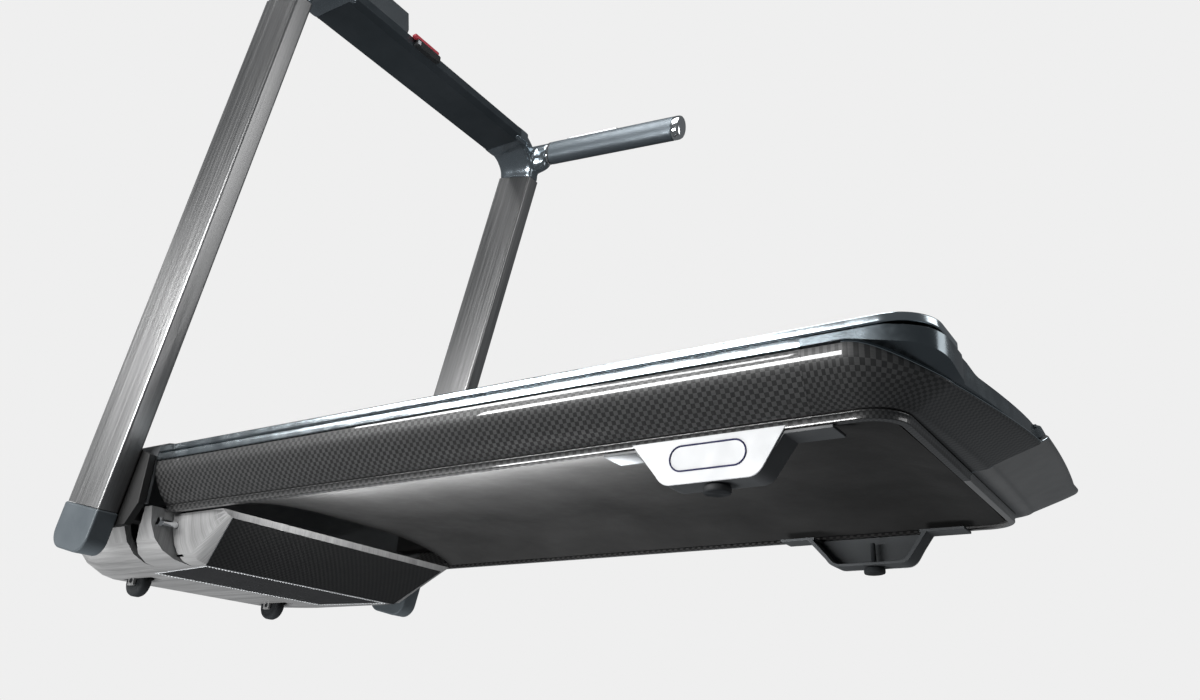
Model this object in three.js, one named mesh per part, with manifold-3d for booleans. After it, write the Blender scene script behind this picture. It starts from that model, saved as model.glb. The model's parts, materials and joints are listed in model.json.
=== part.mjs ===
// Folding motor treadmill: running deck, motor bay, leaning uprights, console bar and grips.
// Millimetres, +Z up. +X runs to the user's end of the deck, +Y to the user's right.
// Everything is drawn in the deck's own frame (running surface level) and the whole
// assembly is then tipped nose-up, so that its front wheels and mid feet share one floor.
import * as THREE from 'three';
import { mergeVertices } from 'three/addons/utils/BufferGeometryUtils.js';
import Module from 'manifold-3d';

const wasm = await Module();
wasm.setup();

// ---------- driving dimensions ----------
const GAP = 0.3;                       // clearance between touching pieces
const SIDES = [['left', -1], ['right', 1]];

const upright = { outer: 360, thick: 34, depth: 95, wall: 2.5, lean: 12.95, bottom: 49, top: 992 };
const pivot = { x: -27, z: 95 };       // handrail fold axis
const cap = { grow: 2, drop: -22, corner: 28 };

const belt = { half: 210, thick: 2, rollerR: 22, z: 127, frontX: 150, rearX: 1262 };
const beltLoopR = belt.rollerR + GAP;  // inside radius of the belt loop
const board = { x0: 186, x1: 1226, half: 254, thick: 17.6 };
const tube = { inner: 229, outer: 254, z0: 90, x0: 60, x1: 1264, wall: 2 };
const rail = { inner: 205, outer: 315, z0: 144.3, z1: 155, x0: 60, x1: 1288, corner: 52, wall: 2.2 };
const skirt = { x0: 56, x1: 1150, lipZ: 58, topZ: 132.5 };
const rear = { lip: 1231, shelfX: 1289, shelfZ: 120, side: 311 };
// each half of the rear: how far back its middle stands, how much it bows forward towards the
// corner, how square the corner is, and how far the top edge drops from the sides
const halves = {
  left: { middle: 1326, bow: 38, bowPower: 1.35, square: 1.75, drop: 35 },
  right: { middle: 1335, bow: 11.4, bowPower: 2, square: 5, drop: 28 },
};
const rearCorner = { radius: 34, lipY: 267 };
const hood = { x0: -272, x1: 54, z0: 64.5, zTop: 168, tongueX: 150 };
const nosePlan = { start: -100, reach: 176, power: 2.4 };
const tray = { x0: -268, x1: 175, flatX: 90, z: -15, rim: 63.5, wall: 4, bottomHalf: 210 };
const wheel = { x: -176, y: 147, z: -18.7, r: 26, half: 10, journalR: 4, journal: 15 };
const bracket = { x0: 925, x1: 1118, x2: 965, x3: 1085, z0: 10, z1: 57.6, y0: 236, y1: 275, wall: 4 };
const foot = { x: 1027, y: 258, r: 16, pad: 9, stemR: 4, stemTop: 46 };
const pin = { x: 62, z: 40, r: 5, y0: 200, y1: 291, headR: 8 };
const motor = { x: -80, z: 55, r: 46, y0: -204, y1: -40, pulleyR: 8.5 };
const drive = { y0: -225, y1: -213, rollerR: 23.7, thick: 1.4 };
const beam = { x0: 136, x1: 243, z0: 1022, rearTop: 1052, frontTop: 1076, half: 258, wall: 3, topWall: 13 };
const elbow = { inside: 42, neckTop: 1056 };
const grip = { x: 264, z: 1026, y: 343, length: 338, slope: 6.4, halfY: 19, halfZ: 28.5, capLen: 20 };

const nose = Math.atan2(wheel.r - wheel.z, foot.x - wheel.x);   // nose-up tilt of the deck on its floor

// ---------- colours ----------
const FINISH = {
  brushed: [0x8d9093, 0.4, 0.9], graphite: [0x565a5d, 0.45, 0.3], console: [0x33383b, 0.5, 0.2],
  black: [0x17181a, 0.6, 0.1], rubber: [0x151617, 0.9, 0], carbon: [0x3a3b3c, 0.35, 0.2],
  silver: [0x9aa6ac, 0.25, 0.9], chrome: [0xdfe3e6, 0.08, 1], beltBlack: [0x1c1c1d, 0.85, 0],
  steel: [0x6d7073, 0.4, 0.8], plate: [0xe3e4e5, 0.35, 0.3], plain: [0x4a4b4c, 0.4, 0.2],
  mdf: [0x6a4f38, 0.8, 0], red: [0xc8434b, 0.4, 0], screen: [0x0a0c0e, 0.1, 0],
};

// ---------- helpers ----------
const whole = new THREE.Group();
const deck = new THREE.Group();
whole.add(deck);

function put(name, geometry, finish, parent = deck) {
  const [color, roughness, metalness] = FINISH[finish];
  const mesh = new THREE.Mesh(geometry, new THREE.MeshStandardMaterial({ color, roughness, metalness }));
  mesh.name = name;
  parent.add(mesh);
  return mesh;
}

function toSolid(geometry) {
  const bare = geometry.index ? geometry.toNonIndexed() : geometry.clone();
  bare.deleteAttribute('normal');
  bare.deleteAttribute('uv');
  const merged = mergeVertices(bare, 1e-3);
  return new wasm.Manifold(new wasm.Mesh({
    numProp: 3,
    vertProperties: new Float32Array(merged.attributes.position.array),
    triVerts: new Uint32Array(merged.index.array),
  }));
}

function toGeometry(solid) {
  const mesh = solid.getMesh();
  const geometry = new THREE.BufferGeometry();
  geometry.setAttribute('position', new THREE.BufferAttribute(new Float32Array(mesh.vertProperties), 3));
  geometry.setIndex(new THREE.BufferAttribute(new Uint32Array(mesh.triVerts), 1));
  return geometry;
}

function cut(base, ...tools) {
  let solid = toSolid(base);
  for (const tool of tools) solid = solid.subtract(toSolid(tool));
  return toGeometry(solid);
}

function join(base, ...others) {
  let solid = toSolid(base);
  for (const other of others) solid = solid.add(toSolid(other));
  return toGeometry(solid);
}

function box(x0, x1, y0, y1, z0, z1) {
  const geometry = new THREE.BoxGeometry(x1 - x0, y1 - y0, z1 - z0);
  return geometry.translate((x0 + x1) / 2, (y0 + y1) / 2, (z0 + z1) / 2);
}

function outline(points) {
  return new THREE.Shape(points.map(([u, v]) => new THREE.Vector2(u, v)));
}

// outline in X and Z, pushed from y0 to y1
function prismY(shape, y0, y1, curveSegments = 6) {
  const geometry = new THREE.ExtrudeGeometry(shape, { depth: y1 - y0, bevelEnabled: false, curveSegments });
  const axes = new THREE.Matrix4().makeBasis(
    new THREE.Vector3(1, 0, 0), new THREE.Vector3(0, 0, 1), new THREE.Vector3(0, -1, 0));
  return geometry.applyMatrix4(axes).translate(0, y1, 0);
}

// outline in X and Y, pushed from z0 to z1
function prismZ(shape, z0, z1, curveSegments = 6) {
  const geometry = new THREE.ExtrudeGeometry(shape, { depth: z1 - z0, bevelEnabled: false, curveSegments });
  return geometry.translate(0, 0, z0);
}

function roundedRect(u0, u1, v0, v1, r) {
  const shape = new THREE.Shape();
  shape.moveTo(u0 + r, v0);
  shape.lineTo(u1 - r, v0);
  shape.absarc(u1 - r, v0 + r, r, -Math.PI / 2, 0);
  shape.lineTo(u1, v1 - r);
  shape.absarc(u1 - r, v1 - r, r, 0, Math.PI / 2);
  shape.lineTo(u0 + r, v1);
  shape.absarc(u0 + r, v1 - r, r, Math.PI / 2, Math.PI);
  shape.lineTo(u0, v0 + r);
  shape.absarc(u0 + r, v0 + r, r, Math.PI, 1.5 * Math.PI);
  return shape;
}

// round piece about an axis along Y through (x, z); profile is a list of [radius, y]
function turnedY(profile, x, z, segments = 24) {
  const points = profile.map(([r, y]) => new THREE.Vector2(r, y));
  return new THREE.LatheGeometry(points, segments).translate(x, 0, z);
}

// round piece about an axis along Z through (x, y); profile is a list of [radius, z]
function turnedZ(profile, x, y, segments = 20) {
  const points = profile.map(([r, z]) => new THREE.Vector2(r, z));
  return new THREE.LatheGeometry(points, segments).rotateX(Math.PI / 2).translate(x, y, 0);
}

// closed skin through rings of equal length, each a list of Vector3, with flat triangulated ends
function loft(rings, flatten) {
  const count = rings[0].length;
  const positions = rings.flat().flatMap((p) => [p.x, p.y, p.z]);
  const index = [];
  for (let i = 0; i + 1 < rings.length; i += 1) {
    for (let j = 0; j < count; j += 1) {
      const a = i * count + j;
      const b = i * count + ((j + 1) % count);
      index.push(a, b, a + count, b, b + count, a + count);
    }
  }
  const last = (rings.length - 1) * count;
  for (const [i, j, k] of endFaces(rings[0].map(flatten))) index.push(i, k, j);
  for (const [i, j, k] of endFaces(rings[rings.length - 1].map(flatten))) {
    index.push(last + i, last + j, last + k);
  }
  const geometry = new THREE.BufferGeometry();
  geometry.setAttribute('position', new THREE.BufferAttribute(new Float32Array(positions), 3));
  geometry.setIndex(index);
  return facingOut(geometry);
}

// triangles over a flat outline, wound the same way as the outline itself
function endFaces(contour) {
  const wound = (points) => Math.sign(THREE.ShapeUtils.area(points));
  const sense = wound(contour);
  return THREE.ShapeUtils.triangulateShape(contour, []).map(([i, j, k]) => (
    wound([contour[i], contour[j], contour[k]]) === sense ? [i, j, k] : [i, k, j]));
}

// turns a closed mesh right side out
function facingOut(geometry) {
  const p = geometry.attributes.position;
  const idx = geometry.index.array;
  const [a, b, c] = [new THREE.Vector3(), new THREE.Vector3(), new THREE.Vector3()];
  let volume = 0;
  for (let i = 0; i < idx.length; i += 3) {
    a.fromBufferAttribute(p, idx[i]);
    b.fromBufferAttribute(p, idx[i + 1]);
    c.fromBufferAttribute(p, idx[i + 2]);
    volume += a.dot(b.cross(c));
  }
  if (volume < 0) {
    for (let i = 0; i < idx.length; i += 3) [idx[i + 1], idx[i + 2]] = [idx[i + 2], idx[i + 1]];
  }
  return geometry;
}

const flatYZ = (p) => new THREE.Vector2(p.y, p.z);
const mirrored = (side, y0, y1) => (side < 0 ? [-y1, -y0] : [y0, y1]);

// ---------- running gear ----------
function beltLoop(radius) {
  const shape = new THREE.Shape();
  shape.absarc(belt.rearX, belt.z, radius, -Math.PI / 2, Math.PI / 2);
  shape.absarc(belt.frontX, belt.z, radius, Math.PI / 2, 1.5 * Math.PI);
  shape.closePath();
  return shape;
}

function runningGear() {
  const loop = beltLoop(beltLoopR + belt.thick);
  loop.holes.push(beltLoop(beltLoopR));
  put('running_belt', prismY(loop, -belt.half, belt.half, 10), 'beltBlack');

  const boardTop = belt.z + beltLoopR - GAP;
  const boardBox = box(board.x0, board.x1, -board.half, board.half, boardTop - board.thick, boardTop);
  put('running_board', boardBox, 'mdf');

  const axleR = 6;
  const boreR = 7;
  const end = belt.half + 2;
  const plug = 25;
  const shellR = belt.rollerR - 4;
  const hollow = [[boreR, end - plug], [shellR, end - plug], [shellR, plug - end], [boreR, plug - end]];
  const skin = [[boreR, -end], [belt.rollerR, -end], [belt.rollerR, end], [boreR, end]];
  const plain = [...skin, ...hollow, [boreR, -end]];
  const geared = [
    [boreR, drive.y0], [drive.rollerR, drive.y0], [drive.rollerR, drive.y1], [belt.rollerR, drive.y1 + 0.5],
    [belt.rollerR, end], [boreR, end], ...hollow, [boreR, drive.y0],
  ];
  put('front_roller', turnedY(geared, belt.frontX, belt.z), 'steel');
  put('rear_roller', turnedY(plain, belt.rearX, belt.z), 'steel');
  const axleEnd = tube.inner - GAP;
  const axle = [[0, -axleEnd], [axleR, -axleEnd], [axleR, axleEnd], [0, axleEnd]];
  put('front_axle', turnedY(axle, belt.frontX, belt.z, 16), 'steel');
  put('rear_axle', turnedY(axle, belt.rearX, belt.z, 16), 'steel');
}

// ---------- steel frame under the board ----------
function steelFrame() {
  const top = belt.z + beltLoopR - GAP - board.thick - GAP;
  for (const [name, side] of SIDES) {
    const [y0, y1] = mirrored(side, tube.inner, tube.outer);
    const bar = box(tube.x0, tube.x1, y0, y1, tube.z0, top);
    const w = tube.wall;
    const bore = box(tube.x0 - 5, tube.x1 + 5, y0 + w, y1 - w, tube.z0 + w, top - w);
    put(`frame_side_${name}`, cut(bar, bore), 'black');
  }
  const half = tube.inner - GAP;
  const z0 = belt.z - belt.rollerR + 2;
  for (const [name, x] of [['front', 330], ['rear', 1010]]) {
    const w = tube.wall;
    const bar = box(x, x + 30, -half, half, z0, top);
    const bore = box(x + w, x + 30 - w, -half - 5, half + 5, z0 + w, top - w);
    put(`frame_cross_${name}`, cut(bar, bore), 'black');
  }
}

// ---------- motor bay ----------
function motorDrive() {
  const { x, z, r, y0, y1 } = motor;
  const body = [
    [0, y0], [r - 8, y0], [r - 8, y0 + 12], [r, y0 + 14],
    [r, y1 - 14], [r - 8, y1 - 12], [r - 8, y1], [0, y1],
  ];
  put('motor', turnedY(body, x, z, 24), 'black');
  const pulley = [
    [0, drive.y0 - 1], [motor.pulleyR + 2, drive.y0 - 1], [motor.pulleyR, drive.y0 - GAP],
    [motor.pulleyR, drive.y1 + 0.5], [5, drive.y1 + 0.5], [5, y0 - GAP], [0, y0 - GAP],
  ];
  put('motor_pulley', turnedY(pulley, x, z, 20), 'steel');

  const inner = driveLoop(GAP);
  const outer = driveLoop(GAP + drive.thick);
  outer.holes.push(inner);
  put('drive_belt', prismY(outer, drive.y0, drive.y1 - GAP, 8), 'rubber');
  put('motor_controller', box(-215, -140, 60, 200, 8, 50), 'steel');
}

// open-belt outline round the motor pulley and the driven roller
function driveLoop(grow) {
  const dx = belt.frontX - motor.x;
  const dz = belt.z - motor.z;
  const tilt = Math.atan2(dz, dx);
  const splay = Math.asin((drive.rollerR - motor.pulleyR) / Math.hypot(dx, dz));
  const turn = Math.PI / 2;
  const shape = new THREE.Shape();
  shape.absarc(belt.frontX, belt.z, drive.rollerR + grow, tilt - turn - splay, tilt + turn + splay);
  shape.absarc(motor.x, motor.z, motor.pulleyR + grow, tilt + turn + splay, tilt + 3 * turn - splay);
  shape.closePath();
  return shape;
}

// plan half width of the rim that hood and tray share, rounded at the nose
function rimHalf(x, full) {
  const { start, reach, power } = nosePlan;
  if (x >= start) return full;
  return full * (1 - ((start - x) / reach) ** power) ** (1 / power);
}

// hood section: flat bottom, upright sides, rounded shoulders
function hoodRing(x, inset) {
  const half = rimHalf(x, 312) - inset;
  const rise = Math.min(1, (x - hood.x0 + 4) / 190);
  const top = 92 + (hood.zTop - 92) * Math.sin(rise * Math.PI / 2) - inset;
  const bottom = hood.z0 - (inset > 0 ? 20 : 0);
  const shoulder = 26;
  const points = [[-half, bottom], [half, bottom]];
  for (let i = 0; i <= 4; i += 1) {
    const a = (i / 4) * Math.PI / 2;
    points.push([half - shoulder * (1 - Math.cos(a)), top - shoulder * (1 - Math.sin(a))]);
  }
  for (let i = 0; i <= 4; i += 1) {
    const a = Math.PI / 2 + (i / 4) * Math.PI / 2;
    points.push([-half + shoulder * (1 + Math.cos(a)), top - shoulder * (1 - Math.sin(a))]);
  }
  return points.map(([y, z]) => new THREE.Vector3(x, y, z));
}

// tray section: rim, rounded flank, flat bottom
function trayRing(x, inset) {
  const upturn = Math.max(0, (-225 - x) / 43);
  const ramp = Math.max(0, (x - tray.flatX) / (tray.x1 - tray.flatX));
  const wide = x > skirt.x0 - 3 ? 260 : 300;
  const half = rimHalf(x, wide) - inset;
  const bottomHalf = Math.min(half - 20, rimHalf(x, tray.bottomHalf) + ramp * 30) - inset / 2;
  const floor = tray.z + upturn ** 2 * 22 + ramp * 62 + inset;
  const rim = inset > 0 ? 90 : (wide === 260 ? 57.5 : tray.rim);
  const points = [];
  for (let i = 0; i <= 5; i += 1) {
    const t = i / 5;
    const y = (1 - t) ** 2 * half + 2 * t * (1 - t) * (half - 6) + t * t * bottomHalf;
    const z = (1 - t) ** 2 * rim + 2 * t * (1 - t) * (floor + 4) + t * t * floor;
    points.push([y, z]);
  }
  const mirror = points.map(([y, z]) => [-y, z]).reverse();
  return [...points, ...mirror].map(([y, z]) => new THREE.Vector3(x, y, z));
}

function motorBay() {
  const hoodXs = [-272, -268, -258, -240, -215, -180, -140, -90, hood.x1];
  const outer = loft(hoodXs.map((x) => hoodRing(x, 0)), flatYZ);
  const innerXs = [-267, -256, -238, -213, -178, -138, -90, hood.x1 + 5];
  const inner = loft(innerXs.map((x) => hoodRing(x, 4)), flatYZ);
  const tongue = box(hood.x1 - 10, hood.tongueX, -rail.inner + GAP, rail.inner - GAP, 156, hood.zTop);
  const underTongue = box(hood.x1 - 20, hood.tongueX - 4, -rail.inner + 5, rail.inner - 5, 140, 163);
  const switchHole = box(-290, -240, 100, 122, 84, 98);
  put('motor_hood', cut(join(cut(outer, inner), tongue), underTongue, switchHole), 'graphite');

  const wideXs = [-268, -264, -256, -243, -225, -195, -150, 52];
  const narrowXs = [52, 70, tray.flatX, 118, 146, tray.x1];
  const front = loft(wideXs.map((x) => trayRing(x, 0)), flatYZ);
  const back = loft(narrowXs.map((x) => trayRing(x === 52 ? 53.5 : x, 0)), flatYZ);
  const bridge = box(48, 58, -205, 205, tray.z, tray.z + tray.wall);
  const hollowXs = [-262, -254, -241, -223, -193, -150, 48];
  const hollowFront = loft(hollowXs.map((x) => trayRing(x, tray.wall)), flatYZ);
  const hollowBack = loft([57.5, 70, 88, 116, 144, tray.x1 - 5].map((x) => trayRing(x, tray.wall)), flatYZ);
  const throughWay = box(40, 65, -238, 238, -5, 90);
  let body = cut(join(front, back, bridge), hollowFront, hollowBack, throughWay);
  for (const [, side] of SIDES) {
    const [y0, y1] = mirrored(side, wheel.y - wheel.half - 6, wheel.y + wheel.half + 6);
    const lug = box(wheel.x - 8, wheel.x + 8, y0, y1, wheel.z - 8, tray.z + 2);
    const [w0, w1] = mirrored(side, wheel.y - wheel.half - 1.5, wheel.y + wheel.half + 1.5);
    const well = box(wheel.x - 30, wheel.x + 48, w0, w1, wheel.z - 20, 20);
    const holeR = wheel.journalR + 0.6;
    const hole = turnedY([[0, y0 - 5], [holeR, y0 - 5], [holeR, y1 + 5], [0, y1 + 5]], wheel.x, wheel.z, 12);
    const [p0, p1] = mirrored(side, 190, 300);
    const pinHole = turnedY([[0, p0], [pin.r + 0.6, p0], [pin.r + 0.6, p1], [0, p1]], pin.x, pin.z, 12);
    body = cut(join(body, lug), well, hole, pinHole, hingeSlot(side));
  }
  body = cut(body, ventPlate(-20, 10, 0));
  put('motor_tray', body, 'carbon');
  put('vent_mesh', ventPlate(tray.z + 0.8, tray.z + 3.2, GAP), 'black');
}

// claw-shaped slot in the tray's flank that the hinge bracket comes out of
function hingeSlot(side) {
  const shape = outline([[-12, 80], [40, 80], [24, 40], [0, 12], [-30, -14], [-24, 10], [-20, 40]]);
  const [y0, y1] = mirrored(side, 212, 330);
  return prismY(shape, y0, y1);
}

function ventPlate(z0, z1, inset) {
  const [x0, x1, front, rear] = [-78 + inset, 76 - inset, 180 - inset, 198 - inset];
  return prismZ(outline([[x0, -front], [x1, -rear], [x1, rear], [x0, front]]), z0, z1);
}

function transportWheels() {
  for (const [name, side] of SIDES) {
    const { x, z, r, half, journalR, journal } = wheel;
    const profile = [
      [0, -journal], [journalR, -journal], [journalR, -half], [r - 4, -half], [r, -half + 3],
      [r, half - 3], [r - 4, half], [journalR, half], [journalR, journal], [0, journal],
    ];
    put(`transport_wheel_${name}`, turnedY(profile, 0, 0, 24).translate(x, side * wheel.y, z), 'rubber');
  }
}

// ---------- side rails, trims and skirts ----------
function railPlan(side, inset) {
  const { inner, outer, x0, x1, corner } = rail;
  const r = corner - inset;
  const shape = new THREE.Shape();
  shape.moveTo(x0 + inset, side * (inner + inset));
  shape.lineTo(x1 - inset, side * (inner + inset));
  shape.lineTo(x1 - inset, side * (outer - corner));
  shape.absarc(x1 - corner, side * (outer - corner), r, 0, side * Math.PI / 2, side < 0);
  shape.lineTo(x0 + inset, side * (outer - inset));
  shape.closePath();
  return shape;
}

function footRails() {
  for (const [name, side] of SIDES) {
    const full = prismZ(railPlan(side, 0), rail.z0, rail.z1, 8);
    const hollow = prismZ(railPlan(side, rail.wall), rail.z0 - 5, rail.z1 - rail.wall, 8);
    const [y0, y1] = mirrored(side, rail.inner - 5, rail.inner + 2 * rail.wall);
    const overBelt = box(rail.x0 + rail.wall, rail.x1 - rail.wall, y0, y1, rail.z0 - 5, rail.z1 - rail.wall);
    put(`foot_rail_${name}`, cut(full, hollow, overBelt), 'silver');
  }
}

// outer line of the shell's section as [outward, z], from the lip up to the trim; it swells early
// along the sides and runs straight out across the rear (turned = 0 to 1)
function flankLine(reach, topZ, turned) {
  const height = topZ - skirt.lipZ;
  const bySide = [[0.36, 0.174], [0.62, 0.349], [0.86, 0.581], [1, 0.86]];
  const byRear = [[0.36, 0.404], [0.62, 0.62], [0.86, 0.818], [1, 0.933]];
  const swell = bySide.map(([u, v], i) => {
    const share = v + (byRear[i][1] - v) * turned;
    return [reach * u, skirt.lipZ + height * share];
  });
  return [[0, skirt.lipZ], [8, skirt.lipZ], [8, skirt.lipZ + 8], ...swell, [reach, topZ]];
}

// closed section of a 4 mm wall that follows flankLine
function flankSection(reach, topZ, turned) {
  const line = flankLine(reach, topZ, turned);
  const back = line.slice(2).map(([u, z]) => [u - 4.5, z + 1.5]).reverse();
  back[0][1] = topZ;
  return [...line, ...back, [0, skirt.lipZ + 4]];
}

function sideSkirts() {
  for (const [name, side] of SIDES) {
    const section = flankSection(rear.side - rearCorner.lipY, skirt.topZ, 0);
    const rings = [skirt.x0, skirt.x1].map((x) => (
      section.map(([u, z]) => new THREE.Vector3(x, side * (rearCorner.lipY + u), z))));
    put(`side_skirt_${name}`, loft(rings, flatYZ), 'carbon');
    const [y0, y1] = mirrored(side, 284, 313);
    put(`trim_strip_${name}`, box(skirt.x0, skirt.x1, y0, y1, skirt.topZ + GAP, rail.z0 - GAP), 'silver');
  }
}

// stations along the lip from the skirt's end, round the corner, to the middle of the rear:
// place, outward direction, and how far the top edge stands out and how high it is
function rearStations(name, side) {
  const half = halves[name];
  const { radius, lipY } = rearCorner;
  const [cornerX, cornerY] = [rear.lip - radius, lipY - radius];
  const reachY = rear.side - cornerY;
  const reachX = half.middle - half.bow - cornerX;
  const stations = [skirt.x1 + GAP, 1176].map((x) => (
    { x, y: side * lipY, nx: 0, ny: side, reach: rear.side - lipY, top: skirt.topZ }));
  for (let i = 0; i <= 8; i += 1) {
    const a = (i / 8) * Math.PI / 2;
    const [sin, cos] = [Math.sin(a), Math.cos(a)];
    const r = ((sin / reachX) ** half.square + (cos / reachY) ** half.square) ** (-1 / half.square);
    stations.push({
      x: cornerX + radius * sin, y: side * (cornerY + radius * cos), nx: sin, ny: side * cos,
      reach: r - radius, top: skirt.topZ - half.drop * sin ** 1.6,
    });
  }
  for (const share of [0.903, 0.869, 0.65, 0.43, 0.21, 0]) {
    const reach = half.middle - half.bow * share ** half.bowPower - rear.lip;
    const y = side * Math.max(cornerY * share, GAP / 2);
    stations.push({ x: rear.lip, y, nx: 1, ny: 0, reach, top: skirt.topZ - half.drop });
  }
  return stations;
}

function rearBumpers() {
  for (const [name, side] of SIDES) {
    const rings = rearStations(name, side).map(({ x, y, nx, ny, reach, top }) => (
      flankSection(reach, top, nx ** 2).map(([u, z]) => new THREE.Vector3(x + u * nx, y + u * ny, z))));
    const ends = (v) => new THREE.Vector2(v.x + Math.abs(v.y), v.z);
    put(`rear_bumper_${name}`, loft(rings, ends), side < 0 ? 'carbon' : 'plain');
  }
}

// strip that closes the height between bumpers and foot rails, low between the rails, with a
// shelf behind the belt
function rearTrim() {
  const stations = [...rearStations('left', -1), ...rearStations('right', 1).reverse()];
  const inset = (station) => (station.y > 0 ? 2 * station.nx ** 2 : 0);
  const rings = stations.map((station) => {
    const { x, y, nx, ny, reach, top } = station;
    const height = Math.abs(y) > rail.inner + 3 ? rail.z0 - GAP : rear.shelfZ;
    const outer = reach - inset(station);
    const section = [[outer - 5, top + GAP], [outer, top + GAP], [outer, height], [outer - 5, height]];
    return section.map(([u, z]) => new THREE.Vector3(x + u * nx, y + u * ny, z));
  });
  const behindBelt = stations.filter(({ nx, y }) => nx === 1 && Math.abs(y) < rail.inner + 3);
  const shelf = behindBelt.map((station) => [station.x + station.reach - inset(station) - 2, station.y]);
  const halfWidth = Math.abs(shelf[0][1]);
  const front = [[rear.shelfX, halfWidth], [rear.shelfX, -halfWidth]];
  const plate = prismZ(outline([...shelf, ...front]), rear.shelfZ - 4, rear.shelfZ);
  put('rear_trim', join(loft(rings, flatYZ), plate), 'silver');
}

function bellyPan() {
  const rings = [tray.x1 + 2, skirt.x1, 1185, 1201, 1212, 1220, rear.lip - 5].map(bellySection);
  put('belly_pan', loft(rings, flatYZ), 'black');
}

// arched sheet that closes the underside, narrowing between the bumpers' rounded corners
function bellySection(x) {
  const { radius, lipY } = rearCorner;
  const intoCorner = Math.max(0, x - (rear.lip - radius));
  const half = Math.min(lipY, lipY - radius + Math.sqrt(radius ** 2 - intoCorner ** 2)) - 5;
  const rise = 24 * Math.min(1, (rear.lip - x) / 84);
  const lower = [];
  for (let i = 0; i <= 12; i += 1) {
    const share = -1 + i / 6;
    lower.push([half * share, skirt.lipZ + 4.5 + rise * (1 - share ** 2)]);
  }
  const upper = lower.map(([y, z]) => [y, z + 3]).reverse();
  return [...lower, ...upper].map(([y, z]) => new THREE.Vector3(x, y, z));
}

// ---------- mid feet ----------
function trapezoid(grow, z1) {
  const { x0, x1, x2, x3, z0 } = bracket;
  const r = 12;
  const shape = new THREE.Shape();
  shape.moveTo(x0 - grow, z1);
  shape.lineTo(x2 - grow - r * 0.6, z0 - grow + r);
  shape.quadraticCurveTo(x2 - grow, z0 - grow, x2 - grow + r, z0 - grow);
  shape.lineTo(x3 + grow - r, z0 - grow);
  shape.quadraticCurveTo(x3 + grow, z0 - grow, x3 + grow + r * 0.6, z0 - grow + r);
  shape.lineTo(x1 + grow, z1);
  shape.closePath();
  return shape;
}

function midFeet() {
  const { wall, y0, y1, z1 } = bracket;
  for (const [name, side] of SIDES) {
    const [b0, b1] = mirrored(side, y0, y1);
    const holeR = foot.stemR + 1.2;
    const stemHole = turnedZ([[0, 0], [holeR, 0], [holeR, 30], [0, 30]], foot.x, side * foot.y, 12);
    const [c0, c1] = mirrored(side, y0 - 5, y1 - wall);
    const hat = cut(prismY(trapezoid(0, z1), b0, b1), prismY(trapezoid(-wall, z1 + 5), c0, c1), stemHole);
    const tabs = [box(884, 940, b0, b1, z1 - wall, z1), box(1104, 1170, b0, b1, z1 - wall, z1)];
    put(`foot_bracket_${name}`, join(hat, ...tabs), 'graphite');
    const [p0, p1] = mirrored(side, y1 + GAP, y1 + 2.3);
    put(`bracket_plate_${name}`, prismY(trapezoid(0, 62.5), p0, p1), 'plate');
    const { r, pad, stemR, stemTop } = foot;
    const profile = [
      [0, 0], [r - 2, 0], [r, 2], [r, pad - 2], [r - 3, pad], [stemR, pad], [stemR, stemTop], [0, stemTop],
    ];
    const mesh = put(`leveling_foot_${name}`, turnedZ(profile, 0, 0), 'rubber');
    mesh.position.set(foot.x, side * foot.y, 0);
    mesh.rotation.y = -nose;
  }
}

// ---------- hinge of the handrail ----------
function hinges() {
  for (const [name, side] of SIDES) {
    const [y0, y1] = mirrored(side, 313.5, 325.4);
    const shield = outline([
      [-66, 60], [-40, 30], [30, 30], [54, 62], [54, 140], [30, 150], [-30, 150], [-62, 120],
    ]);
    const plate = prismY(shield, y0, y1);
    const [a0, a1] = mirrored(side, tube.outer + GAP, 320);
    const arm = box(-8, 20, a0, a1, 42, 60);
    const [d0, d1] = mirrored(side, 320, 348);
    const boltHead = turnedY([[0, d0], [11, d0], [11, d1], [0, d1]], pivot.x, pivot.z, 20);
    put(`hinge_bracket_${name}`, join(plate, arm, boltHead), 'black');
    const profile = [
      [0, pin.y0], [pin.r, pin.y0], [pin.r, pin.y1 - 8], [pin.headR, pin.y1 - 7],
      [pin.headR, pin.y1 - 1], [pin.headR - 2, pin.y1], [0, pin.y1],
    ];
    const turned = turnedY(profile, 0, 0, 16);
    if (side < 0) turned.rotateX(Math.PI);
    put(`lock_pin_${name}`, turned.translate(pin.x, 0, pin.z), 'chrome');
  }
}

// ---------- handrail: uprights, console bar, elbows and grips ----------
function uprights() {
  const leaning = new THREE.Group();
  leaning.rotation.y = THREE.MathUtils.degToRad(upright.lean);
  deck.add(leaning);
  const local = pivotInUpright();
  for (const [name, side] of SIDES) {
    const { outer, thick, depth, wall, bottom, top } = upright;
    const [y0, y1] = mirrored(side, outer - thick, outer);
    const section = roundedRect(-depth, 0, y0, y1, 4);
    section.holes.push(roundedRect(-depth + wall, -wall, y0 + wall, y1 - wall, 2));
    const [h0, h1] = mirrored(side, outer - thick - 10, outer - thick + 10);
    const boltWay = turnedY([[0, h0], [12, h0], [12, h1], [0, h1]], local.x, local.z, 20);
    put(`upright_${name}`, cut(prismZ(section, bottom + GAP, top, 3), boltWay), 'brushed', leaning);

    const g = cap.grow;
    const shape = roundedRect(-depth - g, g, cap.drop, bottom + 40, cap.corner);
    const [c0, c1] = mirrored(side, outer - thick, outer + g);
    const above = box(-depth - 20, 20, c0 - 9, c1 + 9, bottom, bottom + 80);
    put(`upright_cap_${name}`, cut(prismY(shape, c0, c1), above), 'graphite', leaning);
  }
}

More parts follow.
